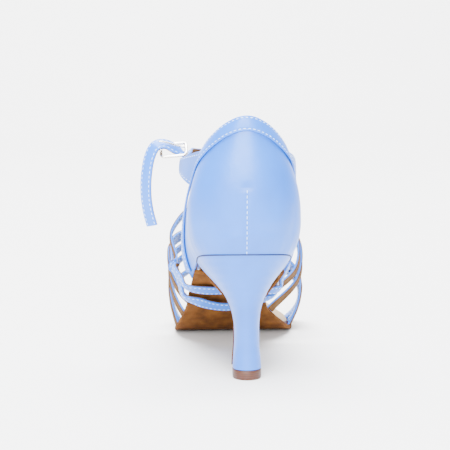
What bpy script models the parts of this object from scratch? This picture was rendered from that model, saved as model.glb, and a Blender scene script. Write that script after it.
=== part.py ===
# Left ballroom dance shoe: strappy sandal with a flared heel.
# +Y to the toe, -X the outer side of the foot, +Z up, origin at the middle of the heel tip's floor face.
import math

import bmesh
import bpy
import numpy as np

# Overall sizes
LENGTH = 0.216
BALL_WIDTH = 0.078
HEEL_HEIGHT = 0.074
COUNTER_HEIGHT = 0.0775
TIP_SETBACK = 0.0145

# Sheet thicknesses and the space left between neighbouring pieces
GAP = 0.0003
OUTSOLE_T = 0.0026
INSOLE_T = 0.0024
WALL_T = 0.0018
BAND_T = 0.0013
STRAP_T = 0.0018

# Widths of the straps
BAND_W = 0.0085
STRAP_W = 0.0078
ANKLE_W = 0.0076

# Heel tip and buckle
TIP_W = 0.0166
TIP_H = 0.0054
TIP_BACK = 0.0085
TIP_FRONT = 0.0055
FRAME_L = 0.0168
FRAME_W = 0.0128
FRAME_CORNER = 0.0022
WIRE_R = 0.0009

# Distances along the shoe, as shares of LENGTH
HEEL_ROUND = 0.12
TOE_ROUND = 0.213
BREAST = 0.213
BREAST_BEND = 0.035
COUNTER_FRONT = 0.305

# Resolution of the counter and its band
COLUMNS = 57

# Wings: where they leave the rim as shares of COUNTER_HEIGHT, how far out their tips are as shares of
# BALL_WIDTH, and the tips' place along LENGTH and top over the seat as a share of COUNTER_HEIGHT
WING_LOW = 0.60
WING_HIGH = 0.80
WING_OUT = {-1: 0.480, 1: 0.400}
WING_TIP = (0.280, 0.906)
WING_SIDE = 0.0085
WING_LEAN_IN = 0.0006
WING_LEAN_BACK = 0.0010
WING_BOW = 0.0012
WING_GAP = 0.0009
RIM_DROP = 0.0006

# The insole's underside, one row a section:
# share of LENGTH, middle and half width as shares of BALL_WIDTH,
# rise over the lowest place as a share of the heel's rise
SOLE = (
    (0.000, -0.013, 0.340, 1.0000),
    (0.070, -0.013, 0.344, 0.9605),
    (0.140, -0.014, 0.347, 0.8960),
    (0.210, -0.021, 0.348, 0.8075),
    (0.280, -0.042, 0.341, 0.6940),
    (0.350, -0.077, 0.324, 0.5580),
    (0.417, -0.106, 0.313, 0.4140),
    (0.463, -0.102, 0.332, 0.3130),
    (0.510, -0.081, 0.379, 0.2160),
    (0.580, -0.050, 0.450, 0.0945),
    (0.640, -0.029, 0.487, 0.0280),
    (0.700, -0.010, 0.500, 0.0000),
    (0.830, 0.015, 0.460, 0.0000),
    (0.900, 0.045, 0.400, 0.0370),
    (1.000, 0.077, 0.346, 0.1150),
)

# The counter's swell: share of COUNTER_HEIGHT, width against the seat, backward lean as a share of LENGTH
SWELL = (
    (0.000, 1.000, 0.000),
    (0.050, 1.080, -0.004),
    (0.110, 1.145, -0.008),
    (0.180, 1.190, -0.011),
    (0.260, 1.208, -0.013),
    (0.360, 1.202, -0.012),
    (0.490, 1.156, -0.009),
    (0.620, 1.060, -0.003),
    (0.750, 0.920, 0.005),
    (0.880, 0.750, 0.013),
    (1.000, 0.570, 0.020),
)

# The counter's rim: share of LENGTH, height over the seat as a share of COUNTER_HEIGHT
RIM = (
    (0.000, 1.000),
    (0.012, 0.976),
    (0.030, 0.943),
    (0.060, 0.884),
    (0.100, 0.812),
    (0.130, 0.767),
    (0.162, 0.708),
    (0.195, 0.632),
    (0.220, 0.563),
    (0.245, 0.484),
    (0.262, 0.400),
    (0.276, 0.300),
    (0.290, 0.170),
    (0.305, 0.055),
)

# The foot inside the straps: share of LENGTH, outer and inner sides as shares of BALL_WIDTH,
# heights of the widest point and of the top as shares of HEEL_HEIGHT
FOOT = (
    (0.250, -0.520, 0.430, 1.060, 1.520),
    (0.350, -0.563, 0.455, 1.000, 1.420),
    (0.417, -0.568, 0.490, 0.920, 1.310),
    (0.486, -0.568, 0.520, 0.780, 1.170),
    (0.556, -0.568, 0.540, 0.620, 1.010),
    (0.625, -0.572, 0.560, 0.470, 0.850),
    (0.695, -0.572, 0.572, 0.360, 0.710),
    (0.764, -0.550, 0.568, 0.280, 0.590),
    (0.833, -0.490, 0.535, 0.235, 0.490),
    (0.903, -0.380, 0.460, 0.215, 0.410),
    (1.000, -0.200, 0.330, 0.215, 0.350),
)

# The heel below its seat: share of HEEL_HEIGHT, half width as a share of BALL_WIDTH,
# back and front as shares of LENGTH, share of the seat's slope
HEEL = (
    (0.077, 0.1056, 0.0275, 0.0945, 0.00),
    (0.160, 0.1010, 0.0300, 0.0945, 0.00),
    (0.270, 0.0930, 0.0330, 0.0975, 0.00),
    (0.390, 0.0915, 0.0330, 0.1045, 0.10),
    (0.500, 0.1010, 0.0300, 0.1150, 0.25),
    (0.600, 0.1230, 0.0250, 0.1290, 0.50),
    (0.690, 0.1560, 0.0190, 0.1450, 0.70),
    (0.770, 0.1980, 0.0130, 0.1635, 0.85),
    (0.850, 0.2480, 0.0070, 0.1820, 0.95),
    (0.930, 0.3020, 0.0030, 0.2000, 1.00),
    (1.000, 0.3460, 0.0000, 0.2130, 1.00),
)

# Arch straps, from inside the counter to the inner sole edge.
# wall: share of LENGTH, side, share of COUNTER_HEIGHT, strap thicknesses in
# side: share of LENGTH, side, strap thicknesses out and up
# under: share of LENGTH, place across, strap thicknesses down, degrees turned to the back
# foot: share of LENGTH, place round the foot, strap thicknesses out, and 0
ARCH_BACK = (
    ("wall", 0.255, 1, 0.21, 1.0),
    ("wall", 0.283, 1, 0.17, 1.3),
    ("side", 0.324, 1, 2.60, 8.0),
    ("side", 0.343, 1, 5.00, 6.4),
    ("side", 0.343, 1, 2.90, 1.9),
    ("side", 0.336, 1, 1.80, -2.0),
    ("under", 0.330, 0.70, 1.50, 8),
    ("under", 0.331, 0.00, 1.20, 8),
    ("under", 0.326, -0.66, 1.50, 8),
    ("side", 0.318, -1, 1.60, -2.2),
    ("side", 0.328, -1, 3.40, 1.5),
    ("side", 0.347, -1, 5.40, 5.8),
    ("foot", 0.368, 0.105, 1.30, 0),
    ("foot", 0.395, 0.20, 0.80, 0),
    ("foot", 0.430, 0.36, 0.30, 0),
    ("foot", 0.475, 0.54, 0.30, 0),
    ("foot", 0.500, 0.70, 0.30, 0),
    ("foot", 0.500, 0.86, 0.10, 0),
    ("foot", 0.490, 1.00, 0.00, 0),
)
ARCH_FRONT = (
    ("side", 0.343, 1, 4.90, 6.2),
    ("side", 0.360, 1, 2.20, 2.2),
    ("side", 0.370, 1, 1.50, -2.0),
    ("under", 0.386, 0.68, 1.75, 8),
    ("under", 0.405, 0.34, 1.90, 8),
    ("under", 0.413, -0.05, 2.10, 8),
    ("under", 0.405, -0.44, 1.90, 8),
    ("under", 0.388, -0.74, 1.80, 8),
    ("side", 0.374, -1, 1.60, -2.2),
    ("side", 0.377, -1, 2.90, 2.3),
    ("side", 0.384, -1, 4.10, 7.2),
    ("foot", 0.424, 0.115, 0.40, 0),
    ("foot", 0.470, 0.20, 0.50, 0),
    ("foot", 0.508, 0.29, 0.50, 0),
    ("foot", 0.524, 0.40, 0.50, 0),
    ("foot", 0.518, 0.53, 0.50, 0),
    ("foot", 0.490, 0.68, 0.50, 0),
    ("foot", 0.455, 0.85, 0.60, 0),
    ("foot", 0.425, 1.00, 0.00, 0),
)

# Middle that the loops face away from: rise over the sole and set to the back, as shares of its half width
LOOP_MIDDLE = 0.65
LOOP_BACK = 0.40

# Buckle frame's middle: share of BALL_WIDTH, share of LENGTH, rise over the wings' tips in strap widths
BUCKLE = (-0.528, 0.278, 0.683)
PRONG_R = 0.0007
PRONG_RISE = 0.0058

# Ankle strap: share of BALL_WIDTH, share of LENGTH, rise over the wings' tips in strap widths,
# and the direction it faces
ANKLE = (
    (0.340, 0.255, -0.534, 1.0, 0.15, 0.0),
    (0.365, 0.320, -0.339, 1.0, 0.30, 0.0),
    (0.320, 0.390, -0.193, 0.8, 0.60, 0.0),
    (0.160, 0.450, -0.144, 0.4, 0.95, 0.1),
    (-0.040, 0.468, -0.144, 0.0, 1.00, 0.1),
    (-0.230, 0.440, -0.144, -0.5, 0.85, 0.1),
    (-0.345, 0.380, 0.050, -0.8, 0.40, 0.2),
    (-0.405, 0.325, 0.294, -0.7, -0.10, 0.5),
    (-0.445, 0.288, 0.381, -0.2, -0.50, 0.8),
    (-0.510, 0.2755, 0.712, 0.1, -0.60, 0.8),
    (-0.590, 0.271, 1.141, 0.1, -0.60, 0.8),
    (-0.665, 0.267, 1.004, -0.3, -0.70, 0.6),
    (-0.710, 0.266, 0.148, -0.55, -0.75, 0.2),
    (-0.735, 0.266, -1.216, -0.60, -0.80, 0.0),
    (-0.740, 0.268, -2.676, -0.60, -0.80, 0.0),
    (-0.725, 0.270, -4.039, -0.60, -0.80, 0.0),
    (-0.695, 0.270, -5.256, -0.60, -0.80, 0.0),
)

# Forefoot straps: start and end along the outer and inner sole edge as shares of LENGTH, layer
FORE_STRAPS = (
    ("outer_back", 0.432, 0.796, 0),
    ("outer_mid", 0.512, 0.741, 1),
    ("outer_front", 0.606, 0.671, 2),
    ("toe", 0.764, 0.706, 2),
)


def curve(rows, column, at):
    """One column of a table at the given shares, smooth and without overshoot."""
    table = np.asarray(rows, float)
    xs = table[:, 0]
    ys = table[:, column]
    steps = np.diff(xs)
    slopes = np.diff(ys) / steps
    tangents = np.zeros(len(xs))
    tangents[0] = slopes[0]
    tangents[-1] = slopes[-1]
    for i in range(1, len(xs) - 1):
        if slopes[i - 1] * slopes[i] > 0:
            wide = 2 * steps[i] + steps[i - 1]
            narrow = steps[i] + 2 * steps[i - 1]
            tangents[i] = (wide + narrow) / (wide / slopes[i - 1] + narrow / slopes[i])
    at = np.clip(np.asarray(at, float), xs[0], xs[-1])
    i = np.clip(np.searchsorted(xs, at, side="right") - 1, 0, len(xs) - 2)
    t = (at - xs[i]) / steps[i]
    low = (1 + 2 * t) * (1 - t) ** 2 * ys[i] + t * (1 - t) ** 2 * steps[i] * tangents[i]
    high = t * t * (3 - 2 * t) * ys[i + 1] + t * t * (t - 1) * steps[i] * tangents[i + 1]
    return low + high


def spline(points, steps):
    """A smooth path through the points, with the given number of steps a span."""
    p = np.asarray(points, float)
    ext = np.vstack([2 * p[0] - p[1], p, 2 * p[-1] - p[-2]])
    out = []
    for i in range(1, len(ext) - 2):
        for k in range(steps):
            t = k / steps
            a = -0.5 * t + t * t - 0.5 * t ** 3
            b = 1 - 2.5 * t * t + 1.5 * t ** 3
            c = 0.5 * t + 2 * t * t - 1.5 * t ** 3
            d = -0.5 * t * t + 0.5 * t ** 3
            out.append(a * ext[i - 1] + b * ext[i] + c * ext[i + 1] + d * ext[i + 2])
    out.append(p[-1])
    return np.array(out)


def unit(v):
    """Vectors made one long."""
    v = np.asarray(v, float)
    return v / np.maximum(np.linalg.norm(v, axis=-1, keepdims=True), 1e-12)


def sole_height(y):
    """Height of the insole's underside: the outsole's own thickness above the floor where it is lowest."""
    lowest = OUTSOLE_T + GAP
    return lowest + curve(SOLE, 3, np.asarray(y) / LENGTH) * (HEEL_HEIGHT - lowest)


def sole_slope(y):
    """Rise of the insole's underside along the shoe."""
    step = LENGTH * 0.004
    return (sole_height(np.asarray(y) + step) - sole_height(np.asarray(y) - step)) / (2 * step)


def sole_normal(y):
    """Unit vector (y, z) square to the sole, pointing up."""
    slope = sole_slope(y)
    size = np.sqrt(1 + slope * slope)
    return -slope / size, 1 / size


def ankle_level():
    """Height of the top of the wings' tips."""
    return float(sole_height(WING_TIP[0] * LENGTH)) + WING_TIP[1] * COUNTER_HEIGHT


def end_round(y, inset):
    """Narrowing of the outline at the heel and at the toe."""
    back = HEEL_ROUND * LENGTH
    toe = TOE_ROUND * LENGTH
    near = np.clip(1 - (np.asarray(y) - inset) / (back - inset), 0, 1)
    far = np.clip((np.asarray(y) - (LENGTH - toe)) / (toe - inset), 0, 1)
    return np.sqrt(1 - near * near) * np.sqrt(1 - far * far)


def sole_edges(y, inset=0.0):
    """Outer and inner edge of the sole's outline, drawn in by the inset."""
    middle = curve(SOLE, 1, np.asarray(y) / LENGTH) * BALL_WIDTH
    half = curve(SOLE, 2, np.asarray(y) / LENGTH) * BALL_WIDTH - inset
    half = half * end_round(y, inset)
    return middle - half, middle + half


def rounded_stations(start, end, count, blunt):
    """Stations from start to end, closer together at a rounded end."""
    share = np.linspace(0, 1, count)
    if blunt == "both":
        share = 0.5 - 0.5 * np.cos(np.pi * share)
    if blunt == "end":
        share = np.sin(0.5 * np.pi * share)
    return start + (end - start) * share


def seat_foot(distance):
    """Station along the shoe for a distance round the seat from its back."""
    back = HEEL_ROUND * LENGTH
    far = np.abs(distance)
    return np.where(far < back * math.pi / 2, back * (1 - np.cos(far / back)), far + back * (1 - math.pi / 2))


def seat_reach():
    """Distance round the seat from its back to the counter's front."""
    back = HEEL_ROUND * LENGTH
    return COUNTER_FRONT * LENGTH - back * (1 - math.pi / 2)


def cup_point(distance, rise):
    """A point of the counter's outer surface: distance round the seat, height over the seat."""
    foot = seat_foot(distance)
    share = np.asarray(rise, float) / COUNTER_HEIGHT
    middle = curve(SOLE, 1, foot / LENGTH) * BALL_WIDTH
    outer, inner = sole_edges(foot)
    half = 0.5 * (inner - outer)
    lean = curve(SWELL, 2, share) * LENGTH
    fade = np.clip(1 - foot / (COUNTER_FRONT * LENGTH), 0, 1)
    x = middle + np.sign(distance) * half * curve(SWELL, 1, share)
    z = sole_height(foot) + rise
    return np.stack(np.broadcast_arrays(x, foot + lean * fade, z), axis=-1)


def cup_rim(distance):
    """Height of the rim over the seat."""
    return curve(RIM, 1, seat_foot(distance) / LENGTH) * COUNTER_HEIGHT


def rim_track(count):
    """Points evenly along the rim: distance round the seat, height over the seat."""
    fine = np.linspace(-seat_reach(), seat_reach(), 801)
    high = cup_rim(fine)
    run = np.concatenate([[0], np.cumsum(np.hypot(np.diff(fine), np.diff(high)))])
    even = np.linspace(0, run[-1], count)
    spots = np.interp(even, run, fine)
    return np.stack([spots, cup_rim(spots)], axis=1)


def grid_normals(grid):
    """Normals of a grid of points, from its neighbours."""
    along = np.gradient(grid, axis=0)
    across = np.gradient(grid, axis=1)
    return unit(np.cross(along, across))


def finish(name, vertices, faces, material, smooth_angle=35):
    """A named closed mesh in the part's own frame, with its normals facing out."""
    points = np.asarray(vertices, float).reshape(-1, 3) - np.array([0, TIP_SETBACK, 0])
    mesh = bpy.data.meshes.new(name)
    mesh.from_pydata([tuple(p) for p in points], [], [tuple(f) for f in faces])
    work = bmesh.new()
    work.from_mesh(mesh)
    bmesh.ops.remove_doubles(work, verts=work.verts, dist=0.00002)
    bmesh.ops.recalc_face_normals(work, faces=work.faces)
    work.to_mesh(mesh)
    work.free()
    mesh.shade_smooth()
    mesh.set_sharp_from_angle(angle=math.radians(smooth_angle))
    mesh.materials.append(material)
    obj = bpy.data.objects.new(name, mesh)
    bpy.context.collection.objects.link(obj)
    return obj


def paint(name, colour, roughness, metallic=0.0, sheen=0.0):
    """A plain material of one colour."""
    material = bpy.data.materials.new(name)
    material.use_nodes = True
    shader = material.node_tree.nodes["Principled BSDF"]
    shader.inputs["Base Color"].default_value = (*colour, 1.0)
    shader.inputs["Roughness"].default_value = roughness
    shader.inputs["Metallic"].default_value = metallic
    shader.inputs["Sheen Weight"].default_value = sheen
    return material


def shell(outer, inner):
    """Faces and points of a sheet between two grids of the same size."""
    rows, columns = outer.shape[:2]
    points = np.concatenate([outer.reshape(-1, 3), inner.reshape(-1, 3)])
    other = rows * columns
    faces = []
    for i in range(rows - 1):
        for j in range(columns - 1):
            a = i * columns + j
            faces.append((a, a + 1, a + columns + 1, a + columns))
            faces.append((a + other, a + columns + other, a + columns + 1 + other, a + 1 + other))
    border = [(i, 0) for i in range(rows)] + [(rows - 1, j) for j in range(1, columns)]
    border += [(i, columns - 1) for i in range(rows - 2, -1, -1)]
    border += [(0, j) for j in range(columns - 2, 0, -1)]
    for k in range(len(border)):
        a = border[k][0] * columns + border[k][1]
        following = border[(k + 1) % len(border)]
        b = following[0] * columns + following[1]
        faces.append((a, b, b + other, a + other))
    return points, faces


def loft(rings, capped=True):
    """Faces and points of a tube through closed rings of the same size."""
    count = len(rings)
    size = len(rings[0])
    faces = []
    spans = count - 1 if capped else count
    for i in range(spans):
        for j in range(size):
            a = i * size + j
            b = i * size + (j + 1) % size
            c = ((i + 1) % count) * size
            faces.append((a, b, c + (j + 1) % size, c + j))
    if capped:
        faces.append(tuple(range(size - 1, -1, -1)))
        faces.append(tuple((count - 1) * size + j for j in range(size)))
    return np.concatenate(rings), faces


def frames(path, normals):
    """Tangent, normal and width direction at each point of a path."""
    tangent = unit(np.gradient(path, axis=0))
    lean = np.sum(normals * tangent, axis=1, keepdims=True)
    normal = unit(normals - lean * tangent)
    return tangent, normal, np.cross(tangent, normal)


def ribbon_rings(path, normals, width, thickness):
    """Rings of a flat strap with eased edges along a path."""
    tangent, normal, across = frames(path, normals)
    ease = 0.3 * thickness
    w = width / 2
    t = thickness / 2
    outline = ((-w + ease, t), (w - ease, t), (w, t - ease), (w, ease - t),
               (w - ease, -t), (ease - w, -t), (-w, ease - t), (-w, t - ease))
    rings = []
    for i in range(len(path)):
        rings.append(np.array([path[i] + a * across[i] + n * normal[i] for a, n in outline]))
    return rings, tangent


def seat_ring(ring, direction):
    """Slides each point of a strap's last ring along the strap to the sole's edge plane."""
    out = ring.copy()
    for _ in range(6):
        miss = sole_height(out[:, 1]) - out[:, 2]
        rate = direction[2] - sole_slope(out[:, 1]) * direction[1]
        rate = np.where(np.abs(rate) < 0.2, 0.2 * np.sign(rate), rate)
        out = out + np.outer(miss / rate, direction)
    return out


def foot_point(y, share):
    """A point on the foot: share 0 at the outer sole edge, 1 at the inner one."""
    y = np.asarray(y, float)
    at = y / LENGTH
    left = curve(FOOT, 1, at) * BALL_WIDTH
    right = curve(FOOT, 2, at) * BALL_WIDTH
    widest = curve(FOOT, 3, at) * HEEL_HEIGHT
    top = curve(FOOT, 4, at) * HEEL_HEIGHT
    outer, inner = sole_edges(y, STRAP_T / 2 + GAP)
    middle = 0.5 * (left + right)
    half = 0.5 * (right - left)
    low = sole_height(y)
    turn_out = np.arccos(np.clip((middle - outer) / half, 0.02, 0.995))
    turn_in = np.arccos(np.clip((inner - middle) / half, 0.02, 0.995))
    angle = -turn_out + share * (math.pi + turn_out + turn_in)
    depth_out = (widest - low) / np.sin(turn_out)
    depth_in = (widest - low) / np.sin(turn_in)
    up = np.sin(angle)
    reach = np.where(up > 0, top - widest, np.where(angle < 1, depth_out, depth_in))
    x = middle - half * np.cos(angle)
    z = widest + reach * up
    return np.stack(np.broadcast_arrays(x, y, z), axis=-1)


def foot_normal(y, share):
    """Direction away from the foot."""
    along = foot_point(y + 0.0005, share) - foot_point(y - 0.0005, share)
    around = foot_point(y, min(share + 0.01, 1.0)) - foot_point(y, max(share - 0.01, 0.0))
    return unit(np.cross(along, around))


def make_insole(material):
    """Board under the foot, inside the counter's wall and the straps' ends."""
    inset = WALL_T + 5 * GAP
    stations = rounded_stations(inset + 0.6 * GAP, LENGTH - inset - 0.6 * GAP, 38, "both")
    rows = 7
    top = np.zeros((len(stations), rows, 3))
    bottom = np.zeros_like(top)
    for i, y in enumerate(stations):
        outer, inner = sole_edges(y, inset)
        ny, nz = sole_normal(y)
        for j in range(rows):
            x = outer + (inner - outer) * j / (rows - 1)
            base = np.array([x, y, sole_height(y)])
            bottom[i, j] = base
            top[i, j] = base + np.array([0, ny, nz]) * INSOLE_T
    points, faces = shell(top, bottom)
    return finish("insole", points, faces, material)


def heel_half(share):
    """Half width of the heel at a share of its height."""
    return curve(HEEL, 1, share) * BALL_WIDTH


def breast(share):
    """Point (y, z) of the heel's front in the middle, at a share of its height."""
    y = curve(HEEL, 3, share) * LENGTH
    z = np.asarray(share) * HEEL_HEIGHT
    return np.stack([y, z + curve(HEEL, 4, share) * (sole_height(y) - HEEL_HEIGHT)], axis=-1)


def sole_path():
    """Middle line (y, z) and edges of the outsole, from the toe to the foot of the heel."""
    offset = GAP + OUTSOLE_T / 2
    bend = (BREAST + BREAST_BEND) * LENGTH
    path = []
    edges = []
    for y in rounded_stations(bend, LENGTH - 0.6 * GAP, 36, "end")[::-1]:
        ny, nz = sole_normal(y)
        path.append(np.array([y - ny * offset, sole_height(y) - nz * offset]))
        edges.append(sole_edges(y))
    shares = np.linspace(0.86, (TIP_H + 2 * GAP) / HEEL_HEIGHT, 15)
    fall = breast(shares)
    tangent = unit(np.gradient(fall, axis=0))
    fall = fall + np.stack([-tangent[:, 1], tangent[:, 0]], axis=1) * (offset + GAP)
    start = path[-1]
    heading = unit(start - path[-2])
    down = unit(fall[1] - fall[0])
    between = fall[0] - start
    reach = (between[0] * down[1] - between[1] * down[0]) / (heading[0] * down[1] - heading[1] * down[0])
    corner = start + heading * reach
    last_edges = edges[-1]
    first_half = heel_half(shares[0]) + GAP
    for k in range(1, 8):
        t = k / 8
        path.append((1 - t) ** 2 * start + 2 * t * (1 - t) * corner + t * t * fall[0])
        ease = t * t * (3 - 2 * t)
        edges.append((last_edges[0] * (1 - ease) - first_half * ease,
                      last_edges[1] * (1 - ease) + first_half * ease))
    for share, point in zip(shares, fall):
        path.append(point)
        edges.append((-heel_half(share) - GAP, heel_half(share) + GAP))
    return np.array(path), np.array(edges)


def make_outsole(material):
    """Suede sole from the toe to the breast, carried on down the heel's front."""
    path, edges = sole_path()
    heading = unit(np.gradient(path, axis=0))
    normal = np.stack([-heading[:, 1], heading[:, 0]], axis=1)
    rows = 7
    upper = np.zeros((len(path), rows, 3))
    lower = np.zeros_like(upper)
    for i in range(len(path)):
        shift = np.array([0, normal[i, 0], normal[i, 1]]) * OUTSOLE_T / 2
        for j in range(rows):
            x = edges[i, 0] + (edges[i, 1] - edges[i, 0]) * j / (rows - 1)
            centre = np.array([x, path[i, 0], path[i, 1]])
            upper[i, j] = centre + shift
            lower[i, j] = centre - shift
    points, faces = shell(upper, lower)
    return finish("outsole", points, faces, material)


def heel_ring(row_share, count):
    """One closed section of the heel."""
    half = curve(HEEL, 1, row_share) * BALL_WIDTH
    back = curve(HEEL, 2, row_share) * LENGTH
    front = curve(HEEL, 3, row_share) * LENGTH
    slope_share = curve(HEEL, 4, row_share)
    widest = back + (front - back) * 0.58
    turn = np.linspace(0, 2 * math.pi, count, endpoint=False)
    c = np.cos(turn)
    s = np.sin(turn)
    power = np.where(s < 0, 1.0, 0.42)
    x = half * np.sign(c) * np.abs(c) ** np.where(s < 0, 1.0, 0.36)
    y = widest + np.where(s < 0, widest - back, front - widest) * np.sign(s) * np.abs(s) ** power
    level = row_share * HEEL_HEIGHT
    middle = curve(SOLE, 1, y / LENGTH) * BALL_WIDTH * slope_share
    seat = sole_height(y) - HEEL_HEIGHT
    z = level + slope_share * seat - GAP * 1.2
    return np.stack([x + middle, y, z], axis=-1)


def make_heel(material):
    """Covered heel from the tip to the seat."""
    start = (TIP_H + GAP * 2.2) / HEEL_HEIGHT
    shares = np.concatenate([np.linspace(start, 0.5, 7), np.linspace(0.56, 1.0, 10)])
    rings = [heel_ring(s, 28) for s in shares]
    points, faces = loft(rings)
    return finish("heel", points, faces, material)


def make_tip(material):
    """Top piece under the heel, flat on the floor."""
    turn = np.linspace(0, 2 * math.pi, 32, endpoint=False)
    c = np.cos(turn)
    s = np.sin(turn)
    power = np.where(s < 0, 1.0, 0.36)
    rings = []
    for height, grow in ((0.0, 0.955), (0.0004, 0.985), (TIP_H * 0.5, 1.0), (TIP_H, 1.0)):
        x = TIP_W / 2 * grow * np.sign(c) * np.abs(c) ** np.where(s < 0, 1.0, 0.3)
        reach = np.where(s < 0, TIP_BACK, TIP_FRONT) * grow
        y = TIP_SETBACK + reach * np.sign(s) * np.abs(s) ** power
        rings.append(np.stack([x, y, np.full_like(x, height)], axis=-1))
    points, faces = loft(rings)
    return finish("heel_tip", points, faces, material)


def pushed(grid, distance):
    """A grid moved along its normals."""
    return grid + grid_normals(grid) * distance


def make_counter(material):
    """Hollow heel cup, open at the top, in front and underneath."""
    track = rim_track(COLUMNS)
    rows = 9
    outer = np.zeros((COLUMNS, rows, 3))
    for i, (distance, high) in enumerate(track):
        for j in range(rows):
            outer[i, j] = cup_point(distance, (high - RIM_DROP) * j / (rows - 1))
    inner = pushed(outer, -WALL_T)
    inner[:, 0, 2] = outer[:, 0, 2]
    points, faces = shell(outer, inner)
    return finish("counter", points, faces, material)


def make_band(material):
    """Collar strap lying over the counter's top and front edges."""
    track = rim_track(COLUMNS)
    heading = unit(np.gradient(track, axis=0))
    inward = np.stack([heading[:, 1], -heading[:, 0]], axis=1)
    rows = 5
    base = np.zeros((COLUMNS, rows, 3))
    for i in range(COLUMNS):
        for j in range(rows):
            distance, rise = track[i] + inward[i] * BAND_W * j / (rows - 1)
            base[i, j] = cup_point(distance, max(rise, 0.0))
    points, faces = shell(pushed(base, -(GAP + BAND_T)), pushed(base, -GAP))
    return finish("collar_band", points, faces, material)


def rim_spot(side, height):
    """Point of the rim on one side at a share of the counter's height over the seat."""
    fine = np.linspace(0, seat_reach(), 400)
    high = cup_rim(fine)
    distance = np.interp(-height * COUNTER_HEIGHT, -high, fine)
    return side * distance


def make_wing(name, side, material):
    """Tab at the counter's front edge that carries the ankle strap."""
    columns = 9
    rows = 9
    middle = np.zeros((columns, rows, 3))
    for j in range(rows):
        up = j / (rows - 1)
        distance = rim_spot(side, WING_LOW + (WING_HIGH - WING_LOW) * up)
        root = cup_point(distance, cup_rim(distance))
        root = root + np.array([0, WING_GAP, 0]) + np.array([-side * WALL_T * 0.5, 0, 0])
        low = np.array([side * WING_OUT[side] * BALL_WIDTH, WING_TIP[0] * LENGTH, ankle_level() - WING_SIDE])
        high = low + np.array([-side * WING_LEAN_IN, -WING_LEAN_BACK, WING_SIDE])
        tip = low + (high - low) * up
        for i in range(columns):
            t = i / (columns - 1)
            middle[i, j] = root + (tip - root) * t
            middle[i, j, 0] += side * WING_BOW * math.sin(math.pi * t)
    normal = grid_normals(middle)
    points, faces = shell(middle + normal * WALL_T / 2, middle - normal * WALL_T / 2)
    return finish(name, points, faces, material)


def make_fore_strap(name, start, end, layer, material):
    """One forefoot strap over the foot from the outer to the inner sole edge."""
    count = 34
    lift = 0.5 * STRAP_T * layer
    path = []
    normals = []
    for k in range(count + 1):
        share = k / count
        y = LENGTH * (start + (end - start) * share)
        normal = foot_normal(y, share)
        raised = lift * math.sin(math.pi * share) ** 0.5
        path.append(foot_point(y, share) + normal * raised)
        normals.append(normal)
    rings, tangent = ribbon_rings(np.array(path), np.array(normals), STRAP_W, STRAP_T)
    rings[0] = seat_ring(rings[0], tangent[0])
    rings[-1] = seat_ring(rings[-1], tangent[-1])
    points, faces = loft(rings)
    return finish(name, points, faces, material)


def side_point(share, side, out, up):
    """A point beside the sole's edge: share of LENGTH, side, distance out and up."""
    y = share * LENGTH
    edge = sole_edges(y)[0 if side < 0 else 1]
    return np.array([edge + side * out, y, sole_height(y) + up])


def under_point(share, across, drop):
    """A point under the arch: share of LENGTH, across from -1 to 1, drop below the outsole."""
    y = share * LENGTH
    outer, inner = sole_edges(y)
    ny, nz = sole_normal(y)
    depth = GAP + OUTSOLE_T + drop
    x = 0.5 * (outer + inner) + across * 0.5 * (inner - outer)
    return np.array([x, y - ny * depth, sole_height(y) - nz * depth])


def wall_point(share, side, height, inside):
    """A point inside the counter's wall: share of LENGTH, side, share of COUNTER_HEIGHT, distance in."""
    foot = share * LENGTH
    distance = side * (foot - HEEL_ROUND * LENGTH * (1 - math.pi / 2))
    rise = height * COUNTER_HEIGHT
    step = 0.0008
    along = cup_point(distance + step, rise) - cup_point(distance - step, rise)
    upwards = cup_point(distance, rise + step) - cup_point(distance, rise - step)
    normal = unit(np.cross(along, upwards))
    return cup_point(distance, rise) - normal * (WALL_T + inside), normal


def arch_normal(share, turn):
    """Direction away from the arch's underside, turned further to the back."""
    slope = math.atan(float(sole_slope(share * LENGTH)))
    angle = slope - math.radians(turn)
    return np.array([0.0, math.sin(angle), -math.cos(angle)])


def side_normal(point):
    """Direction a loop faces beside the sole: away from a point over its middle, and to the back."""
    outer, inner = sole_edges(point[1])
    half = 0.5 * (inner - outer)
    return unit(np.array([point[0] - 0.5 * (outer + inner), -LOOP_BACK * half,
                          point[2] - sole_height(point[1]) - LOOP_MIDDLE * half]))


def make_loop(name, rows, material):
    """Strap from inside the counter, under the arch and over the foot to the sole's inner edge."""
    path = []
    normals = []
    for kind, a, b, c, d in rows:
        if kind == "wall":
            point, normal = wall_point(a, b, c, STRAP_T / 2 + d * STRAP_T)
        if kind == "side":
            point = side_point(a, b, c * STRAP_T, d * STRAP_T)
            normal = side_normal(point)
        if kind == "under":
            point = under_point(a, b, c * STRAP_T)
            normal = arch_normal(a, d)
        if kind == "foot":
            normal = foot_normal(a * LENGTH, b)
            point = foot_point(a * LENGTH, b) + normal * c * STRAP_T
        path.append(point)
        normals.append(normal)
    path = spline(path, 4)
    normals = unit(spline(normals, 4))
    rings, tangent = ribbon_rings(path, normals, STRAP_W, STRAP_T)
    rings[-1] = seat_ring(rings[-1], tangent[-1])
    points, faces = loft(rings)
    return finish(name, points, faces, material)


def sweep(name, path, normals, width, thickness, steps, material):
    """A flat strap through control points."""
    rings, _ = ribbon_rings(spline(path, steps), unit(spline(normals, steps)), width, thickness)
    points, faces = loft(rings)
    return finish(name, points, faces, material)


def buckle_axes():
    """Middle of the buckle's frame and its long, short and face directions."""
    middle = np.array([BUCKLE[0] * BALL_WIDTH, BUCKLE[1] * LENGTH, ankle_level() + BUCKLE[2] * ANKLE_W])
    long_way = unit(np.array([-1.0, 0.05, -0.09]))
    face = unit(np.array([0.0, -0.60, 0.80]))
    face = unit(face - long_way * (face @ long_way))
    return middle, long_way, np.cross(face, long_way), face


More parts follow.
